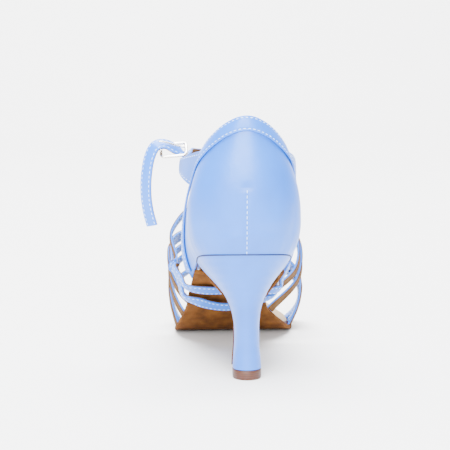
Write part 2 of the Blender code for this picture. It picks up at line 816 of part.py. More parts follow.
def make_frame(material):
    """Rectangular wire frame with rounded corners."""
    middle, long_way, short_way, face = buckle_axes()
    corner = FRAME_CORNER
    half_l = FRAME_L / 2 - WIRE_R
    half_w = FRAME_W / 2 - WIRE_R
    spots = []
    for cx, cy, turn in ((1, 1, 0), (-1, 1, 90), (-1, -1, 180), (1, -1, 270)):
        for k in range(5):
            angle = math.radians(turn + 22.5 * k)
            spots.append((cx * (half_l - corner) + corner * math.cos(angle),
                          cy * (half_w - corner) + corner * math.sin(angle)))
    rings = []
    for i, (u, v) in enumerate(spots):
        before = np.array(spots[i - 1])
        after = np.array(spots[(i + 1) % len(spots)])
        heading = unit(after - before)
        sideways = long_way * heading[1] - short_way * heading[0]
        centre = middle + long_way * u + short_way * v
        ring = []
        for k in range(8):
            angle = 2 * math.pi * k / 8
            ring.append(centre + (sideways * math.cos(angle) + face * math.sin(angle)) * WIRE_R)
        rings.append(np.array(ring))
    points, faces = loft(rings, capped=False)
    return finish("buckle_frame", points, faces, material)


def make_prong(material):
    """Pin lying over the strap from the frame's inner bar to its outer bar."""
    middle, long_way, short_way, face = buckle_axes()
    high = WIRE_R + PRONG_R + GAP
    rings = []
    count = 7
    for i in range(count):
        share = i / (count - 1)
        along = (-0.43 + 0.93 * share) * FRAME_L
        lift = high + PRONG_RISE * share * share * (3 - 2 * share)
        centre = middle + long_way * along + face * lift
        radius = PRONG_R * (1 - 0.35 * share)
        ring = []
        for k in range(6):
            angle = 2 * math.pi * k / 6
            ring.append(centre + (short_way * math.cos(angle) + face * math.sin(angle)) * radius)
        rings.append(np.array(ring))
    points, faces = loft(rings)
    return finish("buckle_prong", points, faces, material)


def make_ankle_strap(material):
    """Strap from the inner wing round the ankle, through the buckle, with its hanging tail."""
    path = []
    normals = []
    for x, y, z, nx, ny, nz in ANKLE:
        path.append(np.array([x * BALL_WIDTH, y * LENGTH, ankle_level() + z * ANKLE_W]))
        normals.append(unit(np.array([nx, ny, nz])))
    return sweep("ankle_strap", path, normals, ANKLE_W, STRAP_T, 4, material)


def join(pieces, name):
    """The first piece with the others joined to it."""
    base = pieces[0]
    base.name = name
    for piece in pieces[1:]:
        union = base.modifiers.new("join_" + piece.name, "BOOLEAN")
        union.operation = "UNION"
        union.solver = "MANIFOLD" if piece.name == "arch_back" else "EXACT"
        union.object = piece
        piece.hide_render = True
        piece.display_type = "WIRE"
    return base


def clear():
    """Removes what the file started with."""
    for obj in list(bpy.data.objects):
        bpy.data.objects.remove(obj, do_unlink=True)


def satin_paint():
    return paint("satin", (0.36, 0.62, 0.92), 0.35, sheen=0.3)


def suede_paint():
    return paint("suede", (0.36, 0.17, 0.05), 0.9)


def lining_paint():
    return paint("insole_lining", (0.74, 0.58, 0.42), 0.6)


def rubber_paint():
    return paint("tip", (0.42, 0.15, 0.05), 0.35)


def nickel_paint():
    return paint("nickel", (0.62, 0.60, 0.56), 0.25, metallic=1.0)


def main():
    clear()
    satin = satin_paint()
    nickel = nickel_paint()
    make_insole(lining_paint())
    make_outsole(suede_paint())
    make_heel(satin)
    make_tip(rubber_paint())
    make_counter(satin)
    make_band(satin)
    make_wing("wing_outer", -1, satin)
    make_wing("wing_inner", 1, satin)
    straps = []
    for name, start, end, layer in FORE_STRAPS:
        straps.append(make_fore_strap(name, start, end, layer, satin))
    straps.append(make_loop("arch_back", ARCH_BACK, satin))
    straps.append(make_loop("arch_front", ARCH_FRONT, satin))
    join(straps, "vamp_straps")
    make_ankle_strap(satin)
    make_frame(nickel)
    make_prong(nickel)


main()
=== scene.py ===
import math

import bmesh
import bpy
import numpy as np
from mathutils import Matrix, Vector


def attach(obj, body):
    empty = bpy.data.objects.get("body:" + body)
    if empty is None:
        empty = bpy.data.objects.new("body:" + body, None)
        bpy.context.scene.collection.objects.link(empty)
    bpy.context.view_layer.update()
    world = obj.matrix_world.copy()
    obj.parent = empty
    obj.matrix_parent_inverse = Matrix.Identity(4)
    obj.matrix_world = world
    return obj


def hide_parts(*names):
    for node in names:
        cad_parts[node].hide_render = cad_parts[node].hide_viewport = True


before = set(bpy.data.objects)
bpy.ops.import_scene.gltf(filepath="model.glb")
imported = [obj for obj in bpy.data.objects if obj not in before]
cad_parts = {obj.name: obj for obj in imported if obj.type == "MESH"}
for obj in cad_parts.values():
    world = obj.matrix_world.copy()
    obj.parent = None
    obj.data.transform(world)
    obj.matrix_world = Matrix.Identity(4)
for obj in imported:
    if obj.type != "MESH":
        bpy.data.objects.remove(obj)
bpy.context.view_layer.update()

# Sizes and tables of the part's own source
LENGTH = 0.216
BALL_WIDTH = 0.078
HEEL_HEIGHT = 0.074
COUNTER_HEIGHT = 0.0775
TIP_SETBACK = 0.0145
GAP = 0.0003
OUTSOLE_T = 0.0026
INSOLE_T = 0.0024
WALL_T = 0.0018
BAND_T = 0.0013
STRAP_T = 0.0018
BAND_W = 0.0085
STRAP_W = 0.0078
ANKLE_W = 0.0076
TIP_W = 0.0166
TIP_H = 0.0054
TIP_BACK = 0.0085
TIP_FRONT = 0.0055
FRAME_L = 0.0168
FRAME_W = 0.0128
WIRE_R = 0.0009
PRONG_R = 0.0007
PRONG_RISE = 0.0058
HEEL_ROUND = 0.12
TOE_ROUND = 0.213
BREAST = 0.213
BREAST_BEND = 0.035
COUNTER_FRONT = 0.305
WING_LOW = 0.60
WING_HIGH = 0.80
WING_OUT = {-1: 0.480, 1: 0.400}
WING_TIP = (0.280, 0.906)
WING_SIDE = 0.0085
WING_LEAN_IN = 0.0006
WING_LEAN_BACK = 0.0010
WING_BOW = 0.0012
WING_GAP = 0.0009
RIM_DROP = 0.0006
BUCKLE = (-0.528, 0.278, 0.683)
FRAME_CORNER = 0.0022
LOOP_MIDDLE = 0.65
LOOP_BACK = 0.40

# Share of LENGTH, middle and half width as shares of BALL_WIDTH, rise as a share of the heel's rise
SOLE = (
    (0.000, -0.013, 0.340, 1.0000),
    (0.070, -0.013, 0.344, 0.9605),
    (0.140, -0.014, 0.347, 0.8960),
    (0.210, -0.021, 0.348, 0.8075),
    (0.280, -0.042, 0.341, 0.6940),
    (0.350, -0.077, 0.324, 0.5580),
    (0.417, -0.106, 0.313, 0.4140),
    (0.463, -0.102, 0.332, 0.3130),
    (0.510, -0.081, 0.379, 0.2160),
    (0.580, -0.050, 0.450, 0.0945),
    (0.640, -0.029, 0.487, 0.0280),
    (0.700, -0.010, 0.500, 0.0000),
    (0.830, 0.015, 0.460, 0.0000),
    (0.900, 0.045, 0.400, 0.0370),
    (1.000, 0.077, 0.346, 0.1150),
)

# Share of COUNTER_HEIGHT, width against the seat, backward lean as a share of LENGTH
SWELL = (
    (0.000, 1.000, 0.000),
    (0.050, 1.080, -0.004),
    (0.110, 1.145, -0.008),
    (0.180, 1.190, -0.011),
    (0.260, 1.208, -0.013),
    (0.360, 1.202, -0.012),
    (0.490, 1.156, -0.009),
    (0.620, 1.060, -0.003),
    (0.750, 0.920, 0.005),
    (0.880, 0.750, 0.013),
    (1.000, 0.570, 0.020),
)

# Share of LENGTH, height of the rim as a share of COUNTER_HEIGHT
RIM = (
    (0.000, 1.000),
    (0.012, 0.976),
    (0.030, 0.943),
    (0.060, 0.884),
    (0.100, 0.812),
    (0.130, 0.767),
    (0.162, 0.708),
    (0.195, 0.632),
    (0.220, 0.563),
    (0.245, 0.484),
    (0.262, 0.400),
    (0.276, 0.300),
    (0.290, 0.170),
    (0.305, 0.055),
)

# Share of LENGTH, outer and inner sides, heights of the widest point and of the top
FOOT = (
    (0.250, -0.520, 0.430, 1.060, 1.520),
    (0.350, -0.563, 0.455, 1.000, 1.420),
    (0.417, -0.568, 0.490, 0.920, 1.310),
    (0.486, -0.568, 0.520, 0.780, 1.170),
    (0.556, -0.568, 0.540, 0.620, 1.010),
    (0.625, -0.572, 0.560, 0.470, 0.850),
    (0.695, -0.572, 0.572, 0.360, 0.710),
    (0.764, -0.550, 0.568, 0.280, 0.590),
    (0.833, -0.490, 0.535, 0.235, 0.490),
    (0.903, -0.380, 0.460, 0.215, 0.410),
    (1.000, -0.200, 0.330, 0.215, 0.350),
)

# Share of HEEL_HEIGHT, half width, back and front, share of the seat's slope
HEEL = (
    (0.077, 0.1056, 0.0275, 0.0945, 0.00),
    (0.160, 0.1010, 0.0300, 0.0945, 0.00),
    (0.270, 0.0930, 0.0330, 0.0975, 0.00),
    (0.390, 0.0915, 0.0330, 0.1045, 0.10),
    (0.500, 0.1010, 0.0300, 0.1150, 0.25),
    (0.600, 0.1230, 0.0250, 0.1290, 0.50),
    (0.690, 0.1560, 0.0190, 0.1450, 0.70),
    (0.770, 0.1980, 0.0130, 0.1635, 0.85),
    (0.850, 0.2480, 0.0070, 0.1820, 0.95),
    (0.930, 0.3020, 0.0030, 0.2000, 1.00),
    (1.000, 0.3460, 0.0000, 0.2130, 1.00),
)

# Control rows of the arch straps, the ankle strap and the forefoot straps
ARCH_BACK = (
    ("wall", 0.255, 1, 0.21, 1.0),
    ("wall", 0.283, 1, 0.17, 1.3),
    ("side", 0.324, 1, 2.60, 8.0),
    ("side", 0.343, 1, 5.00, 6.4),
    ("side", 0.343, 1, 2.90, 1.9),
    ("side", 0.336, 1, 1.80, -2.0),
    ("under", 0.330, 0.70, 1.50, 8),
    ("under", 0.331, 0.00, 1.20, 8),
    ("under", 0.326, -0.66, 1.50, 8),
    ("side", 0.318, -1, 1.60, -2.2),
    ("side", 0.328, -1, 3.40, 1.5),
    ("side", 0.347, -1, 5.40, 5.8),
    ("foot", 0.368, 0.105, 1.30, 0),
    ("foot", 0.395, 0.20, 0.80, 0),
    ("foot", 0.430, 0.36, 0.30, 0),
    ("foot", 0.475, 0.54, 0.30, 0),
    ("foot", 0.500, 0.70, 0.30, 0),
    ("foot", 0.500, 0.86, 0.10, 0),
    ("foot", 0.490, 1.00, 0.00, 0),
)
ARCH_FRONT = (
    ("side", 0.343, 1, 4.90, 6.2),
    ("side", 0.360, 1, 2.20, 2.2),
    ("side", 0.370, 1, 1.50, -2.0),
    ("under", 0.386, 0.68, 1.75, 8),
    ("under", 0.405, 0.34, 1.90, 8),
    ("under", 0.413, -0.05, 2.10, 8),
    ("under", 0.405, -0.44, 1.90, 8),
    ("under", 0.388, -0.74, 1.80, 8),
    ("side", 0.374, -1, 1.60, -2.2),
    ("side", 0.377, -1, 2.90, 2.3),
    ("side", 0.384, -1, 4.10, 7.2),
    ("foot", 0.428, 0.115, 0.45, 0),
    ("foot", 0.480, 0.20, 0.50, 0),
    ("foot", 0.518, 0.29, 0.50, 0),
    ("foot", 0.530, 0.40, 0.50, 0),
    ("foot", 0.518, 0.53, 0.50, 0),
    ("foot", 0.490, 0.68, 0.50, 0),
    ("foot", 0.455, 0.85, 0.60, 0),
    ("foot", 0.425, 1.00, 0.00, 0),
)
ANKLE = (
    (0.340, 0.255, -0.534, 1.0, 0.15, 0.0),
    (0.365, 0.320, -0.339, 1.0, 0.30, 0.0),
    (0.320, 0.390, -0.193, 0.8, 0.60, 0.0),
    (0.160, 0.450, -0.144, 0.4, 0.95, 0.1),
    (-0.040, 0.468, -0.144, 0.0, 1.00, 0.1),
    (-0.230, 0.440, -0.144, -0.5, 0.85, 0.1),
    (-0.345, 0.380, 0.050, -0.8, 0.40, 0.2),
    (-0.405, 0.325, 0.294, -0.7, -0.10, 0.5),
    (-0.445, 0.288, 0.381, -0.2, -0.50, 0.8),
    (-0.510, 0.2755, 0.712, 0.1, -0.60, 0.8),
    (-0.590, 0.271, 1.141, 0.1, -0.60, 0.8),
    (-0.665, 0.267, 1.004, -0.3, -0.70, 0.6),
    (-0.710, 0.266, 0.148, -0.55, -0.75, 0.2),
    (-0.735, 0.266, -1.216, -0.60, -0.80, 0.0),
    (-0.740, 0.268, -2.676, -0.60, -0.80, 0.0),
    (-0.725, 0.270, -4.039, -0.60, -0.80, 0.0),
    (-0.695, 0.270, -5.256, -0.60, -0.80, 0.0),
)
FORE_STRAPS = (
    ("outer_back", 0.432, 0.796, 0),
    ("outer_mid", 0.512, 0.741, 1),
    ("outer_front", 0.606, 0.671, 2),
    ("toe", 0.764, 0.706, 2),
)

# Stitching, linings and seams
PITCH = 0.0028
STITCH_L = 0.0018
STITCH_R = 0.00021
EDGE_ROW = 0.00115
LINING_T = 0.0005
FINE_STEP = 0.0008
SEAM_TOP = 0.0365
INSOLE_DENT = 0.0005
# Radius of the thin cord whose dark colour is painted shade in the heel's joint
PIPING_R = 0.00035

# Soft creases of the counter: distance round the seat, height, half lengths across and up, turn, depth
CREASES = (
    (-0.0065, 0.0096, 0.0065, 0.0018, 6, 0.00050),
    (-0.0060, 0.0160, 0.0080, 0.0035, 12, -0.00050),
    (-0.0075, 0.0250, 0.0055, 0.0080, 0, -0.00045),
    (0.0100, 0.0130, 0.0080, 0.0022, -14, -0.00035),
    (0.0160, 0.0200, 0.0040, 0.0120, -10, 0.00035),
    (0.0260, 0.0150, 0.0035, 0.0110, -8, -0.00045),
    (-0.0230, 0.0140, 0.0040, 0.0110, 10, -0.00040),
    (-0.0310, 0.0180, 0.0035, 0.0120, 6, 0.00035),
    (0.0000, 0.0380, 0.0022, 0.0020, 0, -0.00050),
)


# Camera: place, millimetres of lens, and degrees of heading, turn to bring the shoe to the middle, and dip
CAMERA_PLACE = (-0.0490, -0.8138, 0.2017)
LENS = 115.8
PHOTO_HEADING = 6.0
CENTRING = 3.44
CAMERA_DOWN = 7.9

# Lamps: name, place, target, size and watts
WORLD_STRENGTH = 0.9
LAMPS = (
    ("key", (-0.25, -0.60, 2.1), (0, 0, 0.10), (1.5, 1.2), 190),
    ("softbox", (-0.35, -2.2, 1.05), (0, 0, 0.10), (2.2, 1.1), 190),
    ("backdrop", (0, 0.9, 2.6), (0, 2.3, 0.3), (3.0, 1.5), 420),
)


def curve(rows, column, at):
    """One column of a table at the given shares, smooth and without overshoot."""
    table = np.asarray(rows, float)
    xs = table[:, 0]
    ys = table[:, column]
    steps = np.diff(xs)
    slopes = np.diff(ys) / steps
    tangents = np.zeros(len(xs))
    tangents[0] = slopes[0]
    tangents[-1] = slopes[-1]
    for i in range(1, len(xs) - 1):
        if slopes[i - 1] * slopes[i] > 0:
            wide = 2 * steps[i] + steps[i - 1]
            narrow = steps[i] + 2 * steps[i - 1]
            tangents[i] = (wide + narrow) / (wide / slopes[i - 1] + narrow / slopes[i])
    at = np.clip(np.asarray(at, float), xs[0], xs[-1])
    i = np.clip(np.searchsorted(xs, at, side="right") - 1, 0, len(xs) - 2)
    t = (at - xs[i]) / steps[i]
    low = (1 + 2 * t) * (1 - t) ** 2 * ys[i] + t * (1 - t) ** 2 * steps[i] * tangents[i]
    high = t * t * (3 - 2 * t) * ys[i + 1] + t * t * (t - 1) * steps[i] * tangents[i + 1]
    return low + high


def spline(points, steps):
    """A smooth path through the points, with the given number of steps a span."""
    p = np.asarray(points, float)
    ext = np.vstack([2 * p[0] - p[1], p, 2 * p[-1] - p[-2]])
    out = []
    for i in range(1, len(ext) - 2):
        for k in range(steps):
            t = k / steps
            a = -0.5 * t + t * t - 0.5 * t ** 3
            b = 1 - 2.5 * t * t + 1.5 * t ** 3
            c = 0.5 * t + 2 * t * t - 1.5 * t ** 3
            d = -0.5 * t * t + 0.5 * t ** 3
            out.append(a * ext[i - 1] + b * ext[i] + c * ext[i + 1] + d * ext[i + 2])
    out.append(p[-1])
    return np.array(out)


def unit(v):
    """Vectors made one long."""
    v = np.asarray(v, float)
    return v / np.maximum(np.linalg.norm(v, axis=-1, keepdims=True), 1e-12)


def sole_height(y):
    """Height of the insole's underside."""
    lowest = OUTSOLE_T + GAP
    return lowest + curve(SOLE, 3, np.asarray(y) / LENGTH) * (HEEL_HEIGHT - lowest)


def sole_slope(y):
    """Rise of the insole's underside along the shoe."""
    step = LENGTH * 0.004
    return (sole_height(np.asarray(y) + step) - sole_height(np.asarray(y) - step)) / (2 * step)


def sole_normal(y):
    """Unit vector (y, z) square to the sole, pointing up."""
    slope = sole_slope(y)
    size = np.sqrt(1 + slope * slope)
    return -slope / size, 1 / size


def ankle_level():
    """Height of the top of the wings' tips."""
    return float(sole_height(WING_TIP[0] * LENGTH)) + WING_TIP[1] * COUNTER_HEIGHT


def end_round(y, inset):
    """Narrowing of the outline at the heel and at the toe."""
    back = HEEL_ROUND * LENGTH
    toe = TOE_ROUND * LENGTH
    near = np.clip(1 - (np.asarray(y) - inset) / (back - inset), 0, 1)
    far = np.clip((np.asarray(y) - (LENGTH - toe)) / (toe - inset), 0, 1)
    return np.sqrt(1 - near * near) * np.sqrt(1 - far * far)


def sole_edges(y, inset=0.0):
    """Outer and inner edge of the sole's outline, drawn in by the inset."""
    middle = curve(SOLE, 1, np.asarray(y) / LENGTH) * BALL_WIDTH
    half = curve(SOLE, 2, np.asarray(y) / LENGTH) * BALL_WIDTH - inset
    half = half * end_round(y, inset)
    return middle - half, middle + half


def seat_foot(distance):
    """Station along the shoe for a distance round the seat from its back."""
    back = HEEL_ROUND * LENGTH
    far = np.abs(distance)
    return np.where(far < back * math.pi / 2, back * (1 - np.cos(far / back)), far + back * (1 - math.pi / 2))


def seat_reach():
    """Distance round the seat from its back to the counter's front."""
    back = HEEL_ROUND * LENGTH
    return COUNTER_FRONT * LENGTH - back * (1 - math.pi / 2)


def cup_point(distance, rise):
    """A point of the counter's outer surface: distance round the seat, height over the seat."""
    foot = seat_foot(distance)
    share = np.asarray(rise, float) / COUNTER_HEIGHT
    middle = curve(SOLE, 1, foot / LENGTH) * BALL_WIDTH
    outer, inner = sole_edges(foot)
    half = 0.5 * (inner - outer)
    lean = curve(SWELL, 2, share) * LENGTH
    fade = np.clip(1 - foot / (COUNTER_FRONT * LENGTH), 0, 1)
    x = middle + np.sign(distance) * half * curve(SWELL, 1, share)
    z = sole_height(foot) + rise
    return np.stack(np.broadcast_arrays(x, foot + lean * fade, z), axis=-1)


def cup_normal(distance, rise):
    """Direction out of the counter's outer surface."""
    step = 0.0008
    along = cup_point(distance + step, rise) - cup_point(distance - step, rise)
    upwards = cup_point(distance, rise + step) - cup_point(distance, np.maximum(rise - step, 0))
    return unit(np.cross(along, upwards))


def cup_rim(distance):
    """Height of the rim over the seat."""
    return curve(RIM, 1, seat_foot(distance) / LENGTH) * COUNTER_HEIGHT


def rim_track(count):
    """Points evenly along the rim: distance round the seat, height over the seat."""
    fine = np.linspace(-seat_reach(), seat_reach(), 1601)
    high = cup_rim(fine)
    run = np.concatenate([[0], np.cumsum(np.hypot(np.diff(fine), np.diff(high)))])
    spots = np.interp(np.linspace(0, run[-1], count), run, fine)
    return np.stack([spots, cup_rim(spots)], axis=1)


def foot_point(y, share):
    """A point on the foot: share 0 at the outer sole edge, 1 at the inner one."""
    y = np.asarray(y, float)
    at = y / LENGTH
    left = curve(FOOT, 1, at) * BALL_WIDTH
    right = curve(FOOT, 2, at) * BALL_WIDTH
    widest = curve(FOOT, 3, at) * HEEL_HEIGHT
    top = curve(FOOT, 4, at) * HEEL_HEIGHT
    outer, inner = sole_edges(y, STRAP_T / 2 + GAP)
    middle = 0.5 * (left + right)
    half = 0.5 * (right - left)
    low = sole_height(y)
    turn_out = np.arccos(np.clip((middle - outer) / half, 0.02, 0.995))
    turn_in = np.arccos(np.clip((inner - middle) / half, 0.02, 0.995))
    angle = -turn_out + share * (math.pi + turn_out + turn_in)
    depth_out = (widest - low) / np.sin(turn_out)
    depth_in = (widest - low) / np.sin(turn_in)
    up = np.sin(angle)
    reach = np.where(up > 0, top - widest, np.where(angle < 1, depth_out, depth_in))
    return np.stack(np.broadcast_arrays(middle - half * np.cos(angle), y, widest + reach * up), axis=-1)


def foot_normal(y, share):
    """Direction away from the foot."""
    along = foot_point(y + 0.0005, share) - foot_point(y - 0.0005, share)
    around = foot_point(y, min(share + 0.01, 1.0)) - foot_point(y, max(share - 0.01, 0.0))
    return unit(np.cross(along, around))


def side_point(share, side, out, up):
    """A point beside the sole's edge."""
    y = share * LENGTH
    edge = sole_edges(y)[0 if side < 0 else 1]
    return np.array([edge + side * out, y, sole_height(y) + up])


def under_point(share, across, drop):
    """A point under the arch."""
    y = share * LENGTH
    outer, inner = sole_edges(y)
    ny, nz = sole_normal(y)
    depth = GAP + OUTSOLE_T + drop
    x = 0.5 * (outer + inner) + across * 0.5 * (inner - outer)
    return np.array([x, y - ny * depth, sole_height(y) - nz * depth])


def wall_point(share, side, height, inside):
    """A point inside the counter's wall and the wall's outward direction."""
    distance = side * (share * LENGTH - HEEL_ROUND * LENGTH * (1 - math.pi / 2))
    rise = height * COUNTER_HEIGHT
    normal = cup_normal(distance, rise)
    return cup_point(distance, rise) - normal * (WALL_T + inside), normal


def arch_normal(share, turn):
    """Direction away from the arch's underside, turned further to the back."""
    angle = math.atan(float(sole_slope(share * LENGTH))) - math.radians(turn)
    return np.array([0.0, math.sin(angle), -math.cos(angle)])


def side_normal(point):
    """Direction a loop faces beside the sole: away from a point over its middle, and to the back."""
    outer, inner = sole_edges(point[1])
    half = 0.5 * (inner - outer)
    return unit(np.array([point[0] - 0.5 * (outer + inner), -LOOP_BACK * half,
                          point[2] - sole_height(point[1]) - LOOP_MIDDLE * half]))


def fore_route(start, end, layer):
    """Path and directions of a forefoot strap."""
    count = 34
    path = []
    normals = []
    for k in range(count + 1):
        share = k / count
        y = LENGTH * (start + (end - start) * share)
        normal = foot_normal(y, share)
        raised = 0.5 * STRAP_T * layer * math.sin(math.pi * share) ** 0.5
        path.append(foot_point(y, share) + normal * raised)
        normals.append(normal)
    return spline(path, 3), unit(spline(normals, 3))


def loop_route(rows):
    """Path and directions of an arch strap."""
    path = []
    normals = []
    for kind, a, b, c, d in rows:
        if kind == "wall":
            point, normal = wall_point(a, b, c, STRAP_T / 2 + d * STRAP_T)
        if kind == "side":
            point = side_point(a, b, c * STRAP_T, d * STRAP_T)
            normal = side_normal(point)
        if kind == "under":
            point = under_point(a, b, c * STRAP_T)
            normal = arch_normal(a, d)
        if kind == "foot":
            normal = foot_normal(a * LENGTH, b)
            point = foot_point(a * LENGTH, b) + normal * c * STRAP_T
        path.append(point)
        normals.append(normal)
    return spline(path, 12), unit(spline(normals, 12))


def ankle_route():
    """Path and directions of the ankle strap."""
    scale = np.array([BALL_WIDTH, LENGTH, ANKLE_W])
    rows = np.array(ANKLE)
    points = rows[:, :3] * scale + np.array([0, 0, ankle_level()])
    return spline(points, 14), unit(spline(unit(rows[:, 3:]), 14))


def evenly(points, others, step):
    """A path and what goes with it, resampled at even distances."""
    run = np.concatenate([[0], np.cumsum(np.linalg.norm(np.diff(points, axis=0), axis=1))])
    count = max(int(round(run[-1] / step)), 2) + 1
    even = np.linspace(0, run[-1], count)
    path = np.stack([np.interp(even, run, points[:, k]) for k in range(3)], axis=1)
    beside = np.stack([np.interp(even, run, others[:, k]) for k in range(3)], axis=1)
    return path, unit(beside)


def build(name, points, faces, material, nodes=(), sharp=40):
    """A named piece in the part's frame that rides on the part."""
    points = np.asarray(points, float).reshape(-1, 3) - np.array([0, TIP_SETBACK, 0])
    mesh = bpy.data.meshes.new(name)
    mesh.from_pydata(points.tolist(), [], faces)
    work = bmesh.new()
    work.from_mesh(mesh)
    bmesh.ops.remove_doubles(work, verts=work.verts, dist=0.000004)
    bmesh.ops.recalc_face_normals(work, faces=work.faces)
    work.to_mesh(mesh)
    work.free()
    mesh.shade_smooth()
    mesh.set_sharp_from_angle(angle=math.radians(sharp))
    mesh.materials.append(material)
    obj = bpy.data.objects.new(name, mesh)
    bpy.context.collection.objects.link(obj)
    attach(obj, "root")
    if nodes:
        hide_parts(*nodes)
    return obj


def shell(outer, inner):
    """Points and faces of a sheet between two grids of the same size."""
    rows, columns = outer.shape[:2]
    points = np.concatenate([outer.reshape(-1, 3), inner.reshape(-1, 3)])
    other = rows * columns
    faces = []
    for i in range(rows - 1):
        for j in range(columns - 1):
            a = i * columns + j
            faces.append((a, a + 1, a + columns + 1, a + columns))
            faces.append((a + other, a + columns + other, a + columns + 1 + other, a + 1 + other))
    border = [(i, 0) for i in range(rows)] + [(rows - 1, j) for j in range(1, columns)]
    border += [(i, columns - 1) for i in range(rows - 2, -1, -1)]
    border += [(0, j) for j in range(columns - 2, 0, -1)]
    for k in range(len(border)):
        a = border[k][0] * columns + border[k][1]
        following = border[(k + 1) % len(border)]
        b = following[0] * columns + following[1]
        faces.append((a, b, b + other, a + other))
    return points, faces


def loft(rings, capped=True):
    """Points and faces of a tube through closed rings of the same size."""
    count = len(rings)
    size = len(rings[0])
    faces = []
    spans = count - 1 if capped else count
    for i in range(spans):
        for j in range(size):
            c = ((i + 1) % count) * size
            faces.append((i * size + j, i * size + (j + 1) % size, c + (j + 1) % size, c + j))
    if capped:
        faces.append(tuple(range(size - 1, -1, -1)))
        faces.append(tuple((count - 1) * size + j for j in range(size)))
    return np.concatenate(rings), faces


def round_edges(obj, width, segments=3):
    """Rounds the sharp edges of a piece."""
    bevel = obj.modifiers.new("edges", "BEVEL")
    bevel.width = width
    bevel.segments = segments
    bevel.limit_method = "ANGLE"
    bevel.angle_limit = math.radians(50)
    return obj


def section(half, thickness, ease, across):
    """Closed outline of a flat piece: place across, height, and 1 on the upper face."""
    flat = np.linspace(-(half - ease), half - ease, across)
    turn = np.linspace(90, 0, 5)[1:]
    lift = thickness / 2
    rise = min(ease, lift)
    round_x = half - ease + ease * np.cos(np.radians(turn))
    round_z = lift - rise + rise * np.sin(np.radians(turn))
    right = np.stack([round_x, round_z], 1)
    top = np.stack([flat, np.full(across, lift)], 1)
    lower_right = np.stack([right[::-1, 0], -right[::-1, 1]], 1)
    bottom = np.stack([flat[::-1], np.full(across, -lift)], 1)
    lower_left = np.stack([-right[:, 0], -right[:, 1]], 1)
    left = np.stack([-right[::-1, 0], right[::-1, 1]], 1)
    if rise >= lift:
        lower_right = lower_right[1:]
        left = left[1:]
    outline = np.concatenate([top, right, lower_right, bottom, lower_left, left])
    upper = np.zeros(len(outline))
    upper[:across] = 1
    return outline, upper


def rail_ends(rails, first, last):
    """Rails of a strap cut where they meet the sole's edge plane, with evenly spread points."""
    count = len(rails)
    out = np.zeros_like(rails)
    for j in range(rails.shape[1]):
        rail = rails[:, j]
        over = rail[:, 2] - sole_height(rail[:, 1])
        low = 0.0
        high = count - 1.0
        if first:
            i = int(np.argmax(over > 0))
            low = max(i - over[i] / (over[i] - over[i - 1]), 0) if i else 0.0
        if last:
            i = count - 1 - int(np.argmax(over[::-1] > 0))
            high = i + over[i] / (over[i] - over[i + 1]) if i < count - 1 else high
        at = np.linspace(low, high, count)
        for k in range(3):
            out[:, j, k] = np.interp(at, np.arange(count), rail[:, k])
    return out


def strap_relief(across, along, width):
    """Height of the satin over a flat strap: sewn grooves, a pillow between them and small puckers."""
    row = width / 2 - EDGE_ROW
    off = (np.abs(across) - row) / 0.00036
    groove = -0.00019 * np.exp(-off * off)
    pucker = 0.00005 * np.cos(2 * math.pi * along / PITCH) * np.exp(-off * off * 0.25)
    pillow = 0.00013 * np.clip(1 - (across / row) ** 2, 0, 1)
    wave = 0.00005 * np.sin(along * 310 + across * 420)
    return groove + pucker + pillow + wave


def make_strap(name, path, normals, width, looks, cut=(False, False), nodes=()):
    """A folded satin strap with its lining and two rows of stitches."""
    reach = width * 1.1
    if cut[0]:
        path = np.vstack([path[0] - unit(path[1] - path[0]) * reach, path])
        normals = np.vstack([normals[0], normals])
    if cut[1]:
        path = np.vstack([path, path[-1] + unit(path[-1] - path[-2]) * reach])
        normals = np.vstack([normals, normals[-1]])
    path, normals = evenly(path, normals, FINE_STEP)
    tangent = unit(np.gradient(path, axis=0))
    normal = unit(normals - np.sum(normals * tangent, axis=1, keepdims=True) * tangent)
    across = np.cross(tangent, normal)
    along = np.arange(len(path)) * FINE_STEP
    satin_t = STRAP_T - LINING_T
    outline, upper = section(width / 2, satin_t, 0.0006, 23)
    relief = strap_relief(outline[None, :, 0], along[:, None], width) * upper
    height = outline[None, :, 1] + relief + LINING_T / 2
    rails = path[:, None] + across[:, None] * outline[None, :, 0, None] + normal[:, None] * height[..., None]
    rails = rail_ends(rails, *cut)
    points, faces = loft(list(rails))
    build(name, points, faces, looks["satin"], nodes)
    outline, _ = section(width / 2 - 0.0003, LINING_T, 0.0002, 5)
    height = outline[:, 1] - satin_t / 2
    sideways = across[:, None] * outline[None, :, 0, None]
    rails_in = path[:, None] + sideways + normal[:, None] * height[None, :, None]
    rails_in = rail_ends(rails_in, *cut)
    points, faces = loft(list(rails_in))
    build(name + "_lining", points, faces, looks["lining"])
    row = width / 2 - EDGE_ROW
    columns = [int(np.argmin(np.abs(outline_x - side * row))) for side in (-1, 1)
               for outline_x in [section(width / 2, satin_t, 0.0006, 23)[0][:23, 0]]]
    tracks = [(rails[2:-2, j], normal[2:-2]) for j in columns]
    make_stitches(name + "_stitches", tracks, looks["thread"])


def stitch_rings(centre, heading, normal):
    """One stitch: a short thread that dips into the cloth at both ends."""
    sideways = np.cross(heading, normal)
    rings = []
    for at, size, lift in ((-1.0, 0.35, -0.00022), (-0.72, 0.85, 0.00001), (0.0, 1.0, 0.0001),
                           (0.72, 0.85, 0.00001), (1.0, 0.35, -0.00022)):
        middle = centre + heading * at * STITCH_L / 2 + normal * lift
        ring = []
        for k in range(6):
            angle = math.pi * k / 3
            ring.append(middle + (sideways * math.cos(angle) + normal * math.sin(angle)) * STITCH_R * size)
        rings.append(np.array(ring))
    return rings


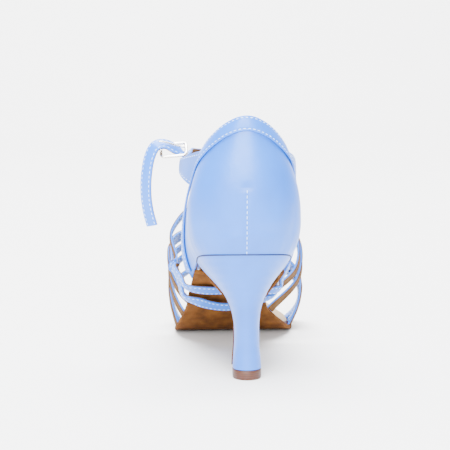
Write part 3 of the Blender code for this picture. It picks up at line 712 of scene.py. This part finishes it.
def make_stitches(name, tracks, material):
    """Rows of stitches along paths on a surface."""
    points = []
    faces = []
    used = 0
    for path, normals in tracks:
        path, normals = evenly(path, normals, PITCH)
        heading = unit(np.gradient(path, axis=0))
        for i in range(len(path)):
            p, f = loft(stitch_rings(path[i], heading[i], normals[i]))
            points.append(p)
            faces += [tuple(v + used for v in face) for face in f]
            used += len(p)
    build(name, np.concatenate(points), faces, material, sharp=80)


def crease_relief(distance, rise):
    """Soft creases of the counter's satin, with gathers over the heel and the back seam's groove."""
    out = np.zeros(np.broadcast(distance, rise).shape)
    for at, up, half_across, half_up, turn, depth in CREASES:
        c = math.cos(math.radians(turn))
        s = math.sin(math.radians(turn))
        a = ((distance - at) * c + (rise - up) * s) / half_across
        b = (-(distance - at) * s + (rise - up) * c) / half_up
        out = out + depth * np.exp(-(a * a + b * b))
    gathers = np.sin(distance * 760) + 0.6 * np.sin(distance * 1330 + 1.0)
    out = out + 0.00012 * gathers * np.exp(-rise / 0.006)
    seam = np.exp(-(distance / 0.00055) ** 2) * np.clip((SEAM_TOP - rise) / 0.004, 0, 1)
    return out - 0.00040 * seam


def make_counter(looks):
    """Satin heel cup with its lining and back seam."""
    columns = 241
    rows = 73
    track = rim_track(columns)
    share = np.linspace(0, 1, rows)
    distance = np.repeat(track[:, :1], rows, axis=1)
    rise = (track[:, 1:] - RIM_DROP) * share[None, :]
    normal = cup_normal(distance, rise)
    base = cup_point(distance, rise)
    edge = np.clip(np.minimum(share, 1 - share) / 0.06, 0, 1)
    outer = base + normal * (crease_relief(distance, rise) * edge)[..., None]
    middle = base - normal * (WALL_T * 0.55)
    inner = base - normal * WALL_T
    for grid in (middle, inner):
        grid[:, 0, 2] = base[:, 0, 2]
    points, faces = shell(outer, middle + normal * 0.00002)
    cup = build("counter_satin", points, faces, looks["satin"], ["counter"])
    round_edges(cup, 0.0003)
    points, faces = shell(middle, inner)
    build("counter_lining", points, faces, looks["lining"])
    rises = np.linspace(0.0008, SEAM_TOP - 0.001, 120)
    zero = np.zeros_like(rises) + 1e-6
    normal = cup_normal(zero, rises)
    path = cup_point(zero, rises) + normal * (crease_relief(zero, rises) + 0.0002)[:, None]
    make_stitches("back_seam_stitches", [(path, normal)], looks["thread"])


def make_band(looks):
    """Folded collar strap over the counter's top and front edges."""
    columns = 281
    track = rim_track(columns)
    heading = unit(np.gradient(track, axis=0))
    inward = np.stack([heading[:, 1], -heading[:, 0]], axis=1)
    run = np.concatenate([[0], np.cumsum(np.linalg.norm(np.diff(track, axis=0), axis=1))])
    outline, upper = section(BAND_W / 2, BAND_T, 0.0006, 25)
    offset = outline[:, 0] + BAND_W / 2
    spot = track[:, None, :] + inward[:, None, :] * offset[None, :, None]
    distance = spot[..., 0]
    rise = np.maximum(spot[..., 1], 0)
    row = BAND_W / 2 - EDGE_ROW
    relief = strap_relief(outline[None, :, 0], run[:, None], BAND_W) * upper
    height = outline[None, :, 1] + BAND_T / 2 + GAP + relief
    normal = cup_normal(distance, rise)
    grid = cup_point(distance, rise) + normal * height[..., None]
    points, faces = loft(list(grid))
    build("collar_satin", points, faces, looks["satin"], ["collar_band"])
    tracks = []
    for side in (-1, 1):
        j = int(np.argmin(np.abs(outline[:25, 0] - side * row)))
        tracks.append((grid[2:-2, j], normal[2:-2, j]))
    make_stitches("collar_stitches", tracks, looks["thread"])


def rim_spot(side, height):
    """Point of the rim on one side at a share of the counter's height over the seat."""
    fine = np.linspace(0, seat_reach(), 400)
    return side * np.interp(-height * COUNTER_HEIGHT, -cup_rim(fine), fine)


def make_wing(name, side, looks):
    """Tab at the counter's front edge that carries the ankle strap."""
    columns = 21
    rows = 21
    middle = np.zeros((columns, rows, 3))
    for j in range(rows):
        up = j / (rows - 1)
        distance = rim_spot(side, WING_LOW + (WING_HIGH - WING_LOW) * up)
        root = cup_point(distance, cup_rim(distance))
        root = root + np.array([-side * WALL_T * 0.5, WING_GAP, 0])
        low = np.array([side * WING_OUT[side] * BALL_WIDTH, WING_TIP[0] * LENGTH, ankle_level() - WING_SIDE])
        high = low + np.array([-side * WING_LEAN_IN, -WING_LEAN_BACK, WING_SIDE])
        tip = low + (high - low) * up
        for i in range(columns):
            t = i / (columns - 1)
            middle[i, j] = root + (tip - root) * t
            middle[i, j, 0] += side * WING_BOW * math.sin(math.pi * t)
    normal = unit(np.cross(np.gradient(middle, axis=0), np.gradient(middle, axis=1)))
    if normal[0, 0, 0] * side < 0:
        normal = -normal
    spread = np.linspace(-1, 1, rows)
    off = (np.abs(spread) - 0.78) / 0.12
    relief = 0.00016 * (1 - spread ** 2) - 0.00018 * np.exp(-off * off)
    face = middle + normal * (WALL_T / 2 + relief[None, :, None])
    points, faces = shell(face, middle - normal * (WALL_T / 2 - LINING_T))
    tab = build(name + "_satin", points, faces, looks["satin"], [name])
    round_edges(tab, 0.0005)
    points, faces = shell(middle - normal * (WALL_T / 2 - LINING_T + 0.00002), middle - normal * WALL_T / 2)
    build(name + "_lining", points, faces, looks["lining"])
    tracks = [(face[1:-1, j], normal[1:-1, j]) for j in (2, rows - 3)]
    make_stitches(name + "_stitches", tracks, looks["thread"])


def make_insole(looks):
    """Lined board under the foot, with a soft dent under the heel and the ball."""
    inset = WALL_T + 5 * GAP
    share = 0.5 - 0.5 * np.cos(np.pi * np.linspace(0, 1, 150))
    stations = inset + 0.0002 + (LENGTH - 2 * inset - 0.0004) * share
    rings = []
    for y in stations:
        outer, inner = sole_edges(y, inset)
        ny, nz = sole_normal(y)
        half = 0.5 * (inner - outer)
        outline, upper = section(max(half, 0.0007), INSOLE_T, 0.0006, 25)
        x = 0.5 * (inner + outer) + outline[:, 0]
        heel_dent = INSOLE_DENT * np.exp(-((y / LENGTH - 0.14) / 0.09) ** 2)
        ball_dent = INSOLE_DENT * np.exp(-((y / LENGTH - 0.70) / 0.1) ** 2)
        dent = heel_dent + ball_dent
        flat = np.clip(1 - (outline[:, 0] / max(half, 0.0007)) ** 2, 0, 1)
        lift = INSOLE_T / 2 + outline[:, 1] - dent * flat * upper
        rings.append(np.stack([x, y + ny * lift, sole_height(y) + nz * lift], axis=1))
    points, faces = loft(rings)
    build("insole_leather", points, faces, looks["insole"], ["insole"])


def heel_half(share):
    """Half width of the heel at a share of its height."""
    return curve(HEEL, 1, share) * BALL_WIDTH


def breast(share):
    """Point (y, z) of the heel's front in the middle, at a share of its height."""
    y = curve(HEEL, 3, share) * LENGTH
    z = np.asarray(share) * HEEL_HEIGHT
    return np.stack([y, z + curve(HEEL, 4, share) * (sole_height(y) - HEEL_HEIGHT)], axis=-1)


def sole_path():
    """Middle line (y, z) and edges of the outsole, from the toe to the foot of the heel."""
    offset = GAP + OUTSOLE_T / 2
    bend = (BREAST + BREAST_BEND) * LENGTH
    path = []
    edges = []
    reach = LENGTH - 0.0002 - bend
    for y in bend + reach * np.sin(0.5 * np.pi * np.linspace(0, 1, 150))[::-1]:
        ny, nz = sole_normal(y)
        path.append(np.array([y - ny * offset, sole_height(y) - nz * offset]))
        edges.append(sole_edges(y))
    shares = np.linspace(0.86, (TIP_H + 2 * GAP) / HEEL_HEIGHT, 60)
    fall = breast(shares)
    tangent = unit(np.gradient(fall, axis=0))
    fall = fall + np.stack([-tangent[:, 1], tangent[:, 0]], axis=1) * (offset + GAP)
    start = path[-1]
    heading = unit(start - path[-4])
    down = unit(fall[3] - fall[0])
    between = fall[0] - start
    reach = (between[0] * down[1] - between[1] * down[0]) / (heading[0] * down[1] - heading[1] * down[0])
    corner = start + heading * reach
    last_edges = edges[-1]
    first_half = heel_half(shares[0]) + GAP
    for k in range(1, 24):
        t = k / 24
        path.append((1 - t) ** 2 * start + 2 * t * (1 - t) * corner + t * t * fall[0])
        ease = t * t * (3 - 2 * t)
        edges.append((last_edges[0] * (1 - ease) - first_half * ease,
                      last_edges[1] * (1 - ease) + first_half * ease))
    for share, point in zip(shares, fall):
        path.append(point)
        edges.append((-heel_half(share) - GAP, heel_half(share) + GAP))
    return np.array(path), np.array(edges)


def make_outsole(looks):
    """Suede sole from the toe to the breast, carried on down the heel's front."""
    path, edges = sole_path()
    heading = unit(np.gradient(path, axis=0))
    normal = np.stack([-heading[:, 1], heading[:, 0]], axis=1)
    rings = []
    for i in range(len(path)):
        half = max(0.5 * (edges[i, 1] - edges[i, 0]), 0.0008)
        outline, _ = section(half, OUTSOLE_T, 0.0007, 25)
        x = 0.5 * (edges[i, 0] + edges[i, 1]) + outline[:, 0]
        y = path[i, 0] + normal[i, 0] * outline[:, 1]
        z = path[i, 1] + normal[i, 1] * outline[:, 1]
        rings.append(np.stack([x, y, z], axis=1))
    points, faces = loft(rings)
    build("outsole_suede", points, faces, looks["suede"], ["outsole"])


def heel_ring(row_share, count):
    """One closed section of the heel."""
    half = heel_half(row_share)
    back = curve(HEEL, 2, row_share) * LENGTH
    front = curve(HEEL, 3, row_share) * LENGTH
    slope_share = curve(HEEL, 4, row_share)
    widest = back + (front - back) * 0.58
    turn = np.linspace(0, 2 * math.pi, count, endpoint=False)
    c = np.cos(turn)
    s = np.sin(turn)
    x = half * np.sign(c) * np.abs(c) ** np.where(s < 0, 1.0, 0.36)
    reach = np.where(s < 0, widest - back, front - widest)
    y = widest + reach * np.sign(s) * np.abs(s) ** np.where(s < 0, 1.0, 0.42)
    middle = curve(SOLE, 1, y / LENGTH) * BALL_WIDTH * slope_share
    z = row_share * HEEL_HEIGHT + slope_share * (sole_height(y) - HEEL_HEIGHT) - GAP * 1.2
    return np.stack([x + middle, y, z], axis=-1)


def make_heel(looks):
    """Covered heel with faint pulls in its satin, and a thin dark cord where it meets the counter, whose dark
    colour is painted shade of the joint.
    """
    start = (TIP_H + GAP * 2.2) / HEEL_HEIGHT
    shares = np.concatenate([np.linspace(start, 0.5, 50), np.linspace(0.51, 1.0, 60)])
    count = 144
    turn = np.linspace(0, 2 * math.pi, count, endpoint=False)
    rings = []
    for s in shares:
        ring = heel_ring(s, count)
        centre = ring.mean(axis=0)
        out = ring - centre
        out[:, 2] = 0
        out = unit(out)
        pull = 0.00008 * np.sin(s * 95 + 2.2 * np.sin(turn * 2)) * np.clip((s - 0.4) * 4, 0, 1)
        pull = pull + 0.00006 * np.sin(turn * 3 + s * 21)
        back_only = np.where(np.sin(turn) < 0.1, 1, 0)
        rings.append(ring + out * (pull * back_only)[:, None])
    points, faces = loft(rings)
    cover = build("heel_satin", points, faces, looks["satin"], ["heel"])
    round_edges(cover, 0.0004)
    edge = heel_ring(1.0, 240)
    keep = edge[:, 1] < BREAST * LENGTH - 0.004
    spots = np.where(keep)[0]
    order = np.argsort(np.arctan2(edge[spots, 0], -(edge[spots, 1] - 0.03)))
    line = edge[spots][order]
    middle = np.array([line[:, 0].mean(), 0.03, 0])
    out = line - middle
    out[:, 2] = 0
    out = unit(out)
    line = line + out * 0.0002 + np.array([0, 0, 0.0001])
    # Thin cord in the joint between heel and counter, coloured dark as painted shade of the gap
    make_cordlet("heel_shadow_piping", line, out, PIPING_R, looks["shadow_piping"])


def make_cordlet(name, path, normals, radius, material):
    """A thin round cord along a path."""
    path, normals = evenly(path, normals, 0.001)
    heading = unit(np.gradient(path, axis=0))
    sideways = unit(np.cross(heading, normals))
    rings = []
    for i in range(len(path)):
        ring = []
        for k in range(8):
            angle = math.pi * k / 4
            ring.append(path[i] + (normals[i] * math.cos(angle) + sideways[i] * math.sin(angle)) * radius)
        rings.append(np.array(ring))
    points, faces = loft(rings)
    build(name, points, faces, material)


def make_tip(looks):
    """Top piece under the heel, flat on the floor."""
    turn = np.linspace(0, 2 * math.pi, 96, endpoint=False)
    c = np.cos(turn)
    s = np.sin(turn)
    rings = []
    for height, grow in ((0.0, 0.955), (0.0002, 0.975), (0.0004, 0.985), (0.0012, 0.995), (0.5 * TIP_H, 1.0),
                         (TIP_H - 0.0004, 1.0), (TIP_H - 0.0001, 0.99), (TIP_H, 0.975)):
        x = TIP_W / 2 * grow * np.sign(c) * np.abs(c) ** np.where(s < 0, 1.0, 0.3)
        reach = np.where(s < 0, TIP_BACK, TIP_FRONT) * grow
        y = TIP_SETBACK + reach * np.sign(s) * np.abs(s) ** np.where(s < 0, 1.0, 0.36)
        rings.append(np.stack([x, y, np.full_like(x, height)], axis=-1))
    points, faces = loft(rings)
    build("heel_tip_leather", points, faces, looks["tip"], ["heel_tip"])


def buckle_axes():
    """Middle of the buckle's frame and its long, short and face directions."""
    middle = np.array([BUCKLE[0] * BALL_WIDTH, BUCKLE[1] * LENGTH, ankle_level() + BUCKLE[2] * ANKLE_W])
    long_way = unit(np.array([-1.0, 0.05, -0.09]))
    face = unit(np.array([0.0, -0.60, 0.80]))
    face = unit(face - long_way * (face @ long_way))
    return middle, long_way, np.cross(face, long_way), face


def make_buckle(looks):
    """Plated wire frame and its pin."""
    middle, long_way, short_way, face = buckle_axes()
    corner = FRAME_CORNER
    half_l = FRAME_L / 2 - WIRE_R
    half_w = FRAME_W / 2 - WIRE_R
    spots = []
    for cx, cy, turn in ((1, 1, 0), (-1, 1, 90), (-1, -1, 180), (1, -1, 270)):
        for k in range(13):
            angle = math.radians(turn + 7.5 * k)
            spots.append((cx * (half_l - corner) + corner * math.cos(angle),
                          cy * (half_w - corner) + corner * math.sin(angle)))
    rings = []
    for i, (u, v) in enumerate(spots):
        heading = unit(np.array(spots[(i + 1) % len(spots)]) - np.array(spots[i - 1]))
        sideways = long_way * heading[1] - short_way * heading[0]
        centre = middle + long_way * u + short_way * v
        angles = 2 * math.pi * np.arange(20) / 20
        ring = [centre + (sideways * math.cos(a) + face * math.sin(a)) * WIRE_R for a in angles]
        rings.append(np.array(ring))
    points, faces = loft(rings, capped=False)
    build("buckle_frame_nickel", points, faces, looks["nickel"], ["buckle_frame"])
    high = WIRE_R + PRONG_R + GAP
    rings = []
    count = 40
    for i in range(count):
        share = i / (count - 1)
        along = (-0.43 + 0.93 * share) * FRAME_L
        lift = high + PRONG_RISE * share * share * (3 - 2 * share)
        centre = middle + long_way * along + face * lift
        past = max(abs(share - 0.5) - 0.46, 0) / 0.04
        end = math.sqrt(max(1 - past ** 2, 0.02))
        radius = PRONG_R * (1 - 0.35 * share) * end
        angles = 2 * math.pi * np.arange(14) / 14
        ring = [centre + (short_way * math.cos(a) + face * math.sin(a)) * radius for a in angles]
        rings.append(np.array(ring))
    points, faces = loft(rings)
    build("buckle_prong_nickel", points, faces, looks["nickel"], ["buckle_prong"])


def material_base(name, colour, roughness):
    """A material with its shader, its object coordinates and room for more nodes."""
    material = bpy.data.materials.new(name)
    material.use_nodes = True
    tree = material.node_tree
    shader = tree.nodes["Principled BSDF"]
    shader.inputs["Base Color"].default_value = (*colour, 1)
    shader.inputs["Roughness"].default_value = roughness
    place = tree.nodes.new("ShaderNodeTexCoord")
    return material, tree, shader, place.outputs["Object"]


def noise(tree, where, scale, detail=3.0, stretch=(1, 1, 1)):
    """A noise value over the object."""
    mapping = tree.nodes.new("ShaderNodeMapping")
    mapping.inputs["Scale"].default_value = stretch
    tree.links.new(where, mapping.inputs["Vector"])
    node = tree.nodes.new("ShaderNodeTexNoise")
    node.inputs["Scale"].default_value = scale
    node.inputs["Detail"].default_value = detail
    tree.links.new(mapping.outputs["Vector"], node.inputs["Vector"])
    return node.outputs["Fac"]


def tint(tree, shader, value, low, high, start=0.3, end=0.7):
    """Base colour between two, by a value."""
    node = tree.nodes.new("ShaderNodeValToRGB")
    node.color_ramp.elements[0].position = start
    node.color_ramp.elements[1].position = end
    node.color_ramp.elements[0].color = (*low, 1)
    node.color_ramp.elements[1].color = (*high, 1)
    tree.links.new(value, node.inputs["Fac"])
    tree.links.new(node.outputs["Color"], shader.inputs["Base Color"])


def polish(tree, shader, value, low, high):
    """Roughness between two, by a value."""
    node = tree.nodes.new("ShaderNodeMapRange")
    node.inputs["To Min"].default_value = low
    node.inputs["To Max"].default_value = high
    tree.links.new(value, node.inputs["Value"])
    tree.links.new(node.outputs["Result"], shader.inputs["Roughness"])


def bump(tree, shader, layers):
    """Surface relief from several values, each with its height in metres."""
    previous = None
    for value, distance in layers:
        node = tree.nodes.new("ShaderNodeBump")
        node.inputs["Strength"].default_value = 1.0
        node.inputs["Distance"].default_value = distance
        tree.links.new(value, node.inputs["Height"])
        if previous is not None:
            tree.links.new(previous, node.inputs["Normal"])
        previous = node.outputs["Normal"]
    tree.links.new(previous, shader.inputs["Normal"])


def wave(tree, where, scale, direction, distortion=0.6):
    """Fine parallel threads."""
    node = tree.nodes.new("ShaderNodeTexWave")
    node.bands_direction = direction
    node.inputs["Scale"].default_value = scale
    node.inputs["Distortion"].default_value = distortion
    node.inputs["Detail"].default_value = 1.0
    tree.links.new(where, node.inputs["Vector"])
    return node.outputs["Fac"]


def satin_look():
    """Light-blue satin."""
    material, tree, shader, where = material_base("satin_blue", (0.004, 0.125, 0.58), 0.36)
    cloud = noise(tree, where, 38, 2)
    tint(tree, shader, cloud, (0.003, 0.110, 0.53), (0.006, 0.140, 0.63))
    polish(tree, shader, noise(tree, where, 260, 2), 0.32, 0.42)
    shader.inputs["Specular IOR Level"].default_value = 0.75
    shader.inputs["Specular Tint"].default_value = (0.80, 0.93, 1.0, 1)
    shader.inputs["Anisotropic"].default_value = 0.35
    bump(tree, shader, (
        (noise(tree, where, 110, 2), 0.00022),
        (noise(tree, where, 420, 2, (1, 1, 2.5)), 0.00004),
        (wave(tree, where, 820, "X"), 0.000006),
        (wave(tree, where, 820, "Z"), 0.000006),
    ))
    return material


def suede_look():
    """Brown suede of the sole."""
    material, tree, shader, where = material_base("suede_brown", (0.10, 0.036, 0.007), 0.95)
    nap = noise(tree, where, 120, 5, (1, 0.4, 1))
    tint(tree, shader, nap, (0.060, 0.020, 0.0035), (0.140, 0.052, 0.010))
    shader.inputs["Specular IOR Level"].default_value = 0.1
    bump(tree, shader, ((noise(tree, where, 1900, 4), 0.00012), (nap, 0.0002)))
    return material


def lining_look():
    """Tan suede lining of the straps and the counter."""
    material, tree, shader, where = material_base("lining_tan", (0.11, 0.055, 0.020), 0.85)
    nap = noise(tree, where, 200, 5)
    tint(tree, shader, nap, (0.085, 0.040, 0.013), (0.135, 0.070, 0.027))
    shader.inputs["Specular IOR Level"].default_value = 0.1
    bump(tree, shader, ((noise(tree, where, 2400, 4), 0.00008), (nap, 0.0001)))
    return material


def insole_look():
    """Beige leather of the insole."""
    material, tree, shader, where = material_base("insole_beige", (0.24, 0.15, 0.075), 0.6)
    cloud = noise(tree, where, 60, 4)
    tint(tree, shader, cloud, (0.20, 0.122, 0.058), (0.27, 0.175, 0.090))
    grain = tree.nodes.new("ShaderNodeTexVoronoi")
    grain.inputs["Scale"].default_value = 1500
    tree.links.new(where, grain.inputs["Vector"])
    polish(tree, shader, cloud, 0.5, 0.7)
    bump(tree, shader, ((grain.outputs["Distance"], 0.00006), (noise(tree, where, 300, 3), 0.0001)))
    return material


def tip_look():
    """Orange-brown stacked top piece."""
    material, tree, shader, where = material_base("tip_brown", (0.055, 0.012, 0.0022), 0.36)
    layers = wave(tree, where, 260, "Z", 1.2)
    tint(tree, shader, layers, (0.040, 0.0085, 0.0015), (0.070, 0.0165, 0.003), 0.0, 1.0)
    polish(tree, shader, noise(tree, where, 300, 3), 0.32, 0.5)
    bump(tree, shader, ((layers, 0.00003), (noise(tree, where, 900, 3), 0.00004)))
    return material


def nickel_look():
    """Bright plated wire."""
    material, tree, shader, where = material_base("nickel_plate", (0.72, 0.70, 0.66), 0.2)
    shader.inputs["Metallic"].default_value = 1.0
    haze = noise(tree, where, 900, 3)
    tint(tree, shader, haze, (0.66, 0.64, 0.60), (0.78, 0.76, 0.72))
    polish(tree, shader, haze, 0.14, 0.3)
    bump(tree, shader, ((noise(tree, where, 2600, 2, (1, 0.2, 1)), 0.00001),))
    return material


def thread_look():
    """White sewing thread."""
    material, tree, shader, where = material_base("thread_white", (0.52, 0.70, 0.90), 0.6)
    twist = noise(tree, where, 3000, 2)
    tint(tree, shader, twist, (0.44, 0.63, 0.86), (0.60, 0.77, 0.94))
    bump(tree, shader, ((twist, 0.00004),))
    return material


def shadow_piping_look():
    """Dark-blue line over the heel: a colour much darker than the satin, painted shade of the gap between the
    counter and the heel.
    """
    material, tree, shader, where = material_base("piping_painted_shadow", (0.008, 0.012, 0.06), 0.7)
    twist = noise(tree, where, 1500, 2)
    tint(tree, shader, twist, (0.006, 0.009, 0.045), (0.010, 0.015, 0.075))
    bump(tree, shader, ((twist, 0.00003),))
    return material


def floor_look():
    """Pale seamless floor."""
    material, tree, shader, where = material_base("floor_pale", (0.70, 0.70, 0.705), 0.75)
    cloud = noise(tree, where, 3, 2)
    tint(tree, shader, cloud, (0.69, 0.69, 0.695), (0.71, 0.71, 0.714))
    bump(tree, shader, ((noise(tree, where, 400, 2), 0.00005),))
    return material


def make_floor():
    """Floor that curves up into a backdrop."""
    profile = [(-4.0, 0.0), (1.4, 0.0)]
    for k in range(1, 13):
        angle = math.radians(7.5 * k)
        profile.append((1.4 + 1.2 * math.sin(angle), 1.2 - 1.2 * math.cos(angle)))
    profile.append((2.6, 5.0))
    points = [(x, y, z) for y, z in profile for x in (-5.0, 5.0)]
    faces = [(2 * i, 2 * i + 1, 2 * i + 3, 2 * i + 2) for i in range(len(profile) - 1)]
    mesh = bpy.data.meshes.new("floor")
    mesh.from_pydata(points, [], faces)
    mesh.shade_smooth()
    mesh.materials.append(floor_look())
    floor = bpy.data.objects.new("floor", mesh)
    bpy.context.collection.objects.link(floor)


def make_camera():
    """Camera at the photograph's height and angle, turned so that the one shoe is in the middle."""
    data = bpy.data.cameras.new("camera")
    data.sensor_width = 36.0
    data.lens = LENS
    camera = bpy.data.objects.new("camera", data)
    bpy.context.collection.objects.link(camera)
    camera.location = CAMERA_PLACE
    heading = math.radians(PHOTO_HEADING - CENTRING)
    down = math.radians(CAMERA_DOWN)
    level = math.cos(down)
    ahead = Vector((math.sin(heading) * level, math.cos(heading) * level, -math.sin(down)))
    camera.rotation_euler = ahead.to_track_quat("-Z", "Y").to_euler()
    data.clip_start = 0.01
    data.clip_end = 50
    bpy.context.scene.camera = camera


def make_light(name, place, target, size, power):
    """A large soft lamp."""
    data = bpy.data.lights.new(name, "AREA")
    data.shape = "RECTANGLE"
    data.size = size[0]
    data.size_y = size[1]
    data.energy = power
    lamp = bpy.data.objects.new(name, data)
    lamp.location = place
    lamp.rotation_euler = (Vector(target) - Vector(place)).to_track_quat("-Z", "Y").to_euler()
    bpy.context.collection.objects.link(lamp)


def make_lights():
    """Soft studio light from above, from behind the camera and on the backdrop."""
    world = bpy.data.worlds.new("studio")
    world.use_nodes = True
    world.node_tree.nodes["Background"].inputs["Color"].default_value = (1, 1, 1, 1)
    world.node_tree.nodes["Background"].inputs["Strength"].default_value = WORLD_STRENGTH
    bpy.context.scene.world = world
    for name, place, target, size, power in LAMPS:
        make_light(name, place, target, size, power)


def main():
    looks = {
        "satin": satin_look(),
        "lining": lining_look(),
        "insole": insole_look(),
        "suede": suede_look(),
        "tip": tip_look(),
        "nickel": nickel_look(),
        "thread": thread_look(),
        # dark cord colour in the heel's joint: painted shade
        "shadow_piping": shadow_piping_look(),
    }
    make_camera()
    make_lights()
    make_floor()
    make_counter(looks)
    make_band(looks)
    make_wing("wing_outer", -1, looks)
    make_wing("wing_inner", 1, looks)
    make_insole(looks)
    make_outsole(looks)
    make_heel(looks)
    make_tip(looks)
    make_buckle(looks)
    for name, start, end, layer in FORE_STRAPS:
        path, normals = fore_route(start, end, layer)
        make_strap(name + "_strap", path, normals, STRAP_W, looks, (True, True), ["vamp_straps"])
    path, normals = loop_route(ARCH_BACK)
    make_strap("arch_back_strap", path, normals, STRAP_W, looks, (False, True), ["vamp_straps"])
    path, normals = loop_route(ARCH_FRONT)
    make_strap("arch_front_strap", path, normals, STRAP_W, looks, (False, True), ["vamp_straps"])
    path, normals = ankle_route()
    make_strap("ankle_satin", path, normals, ANKLE_W, looks, (False, False), ["ankle_strap"])


main()
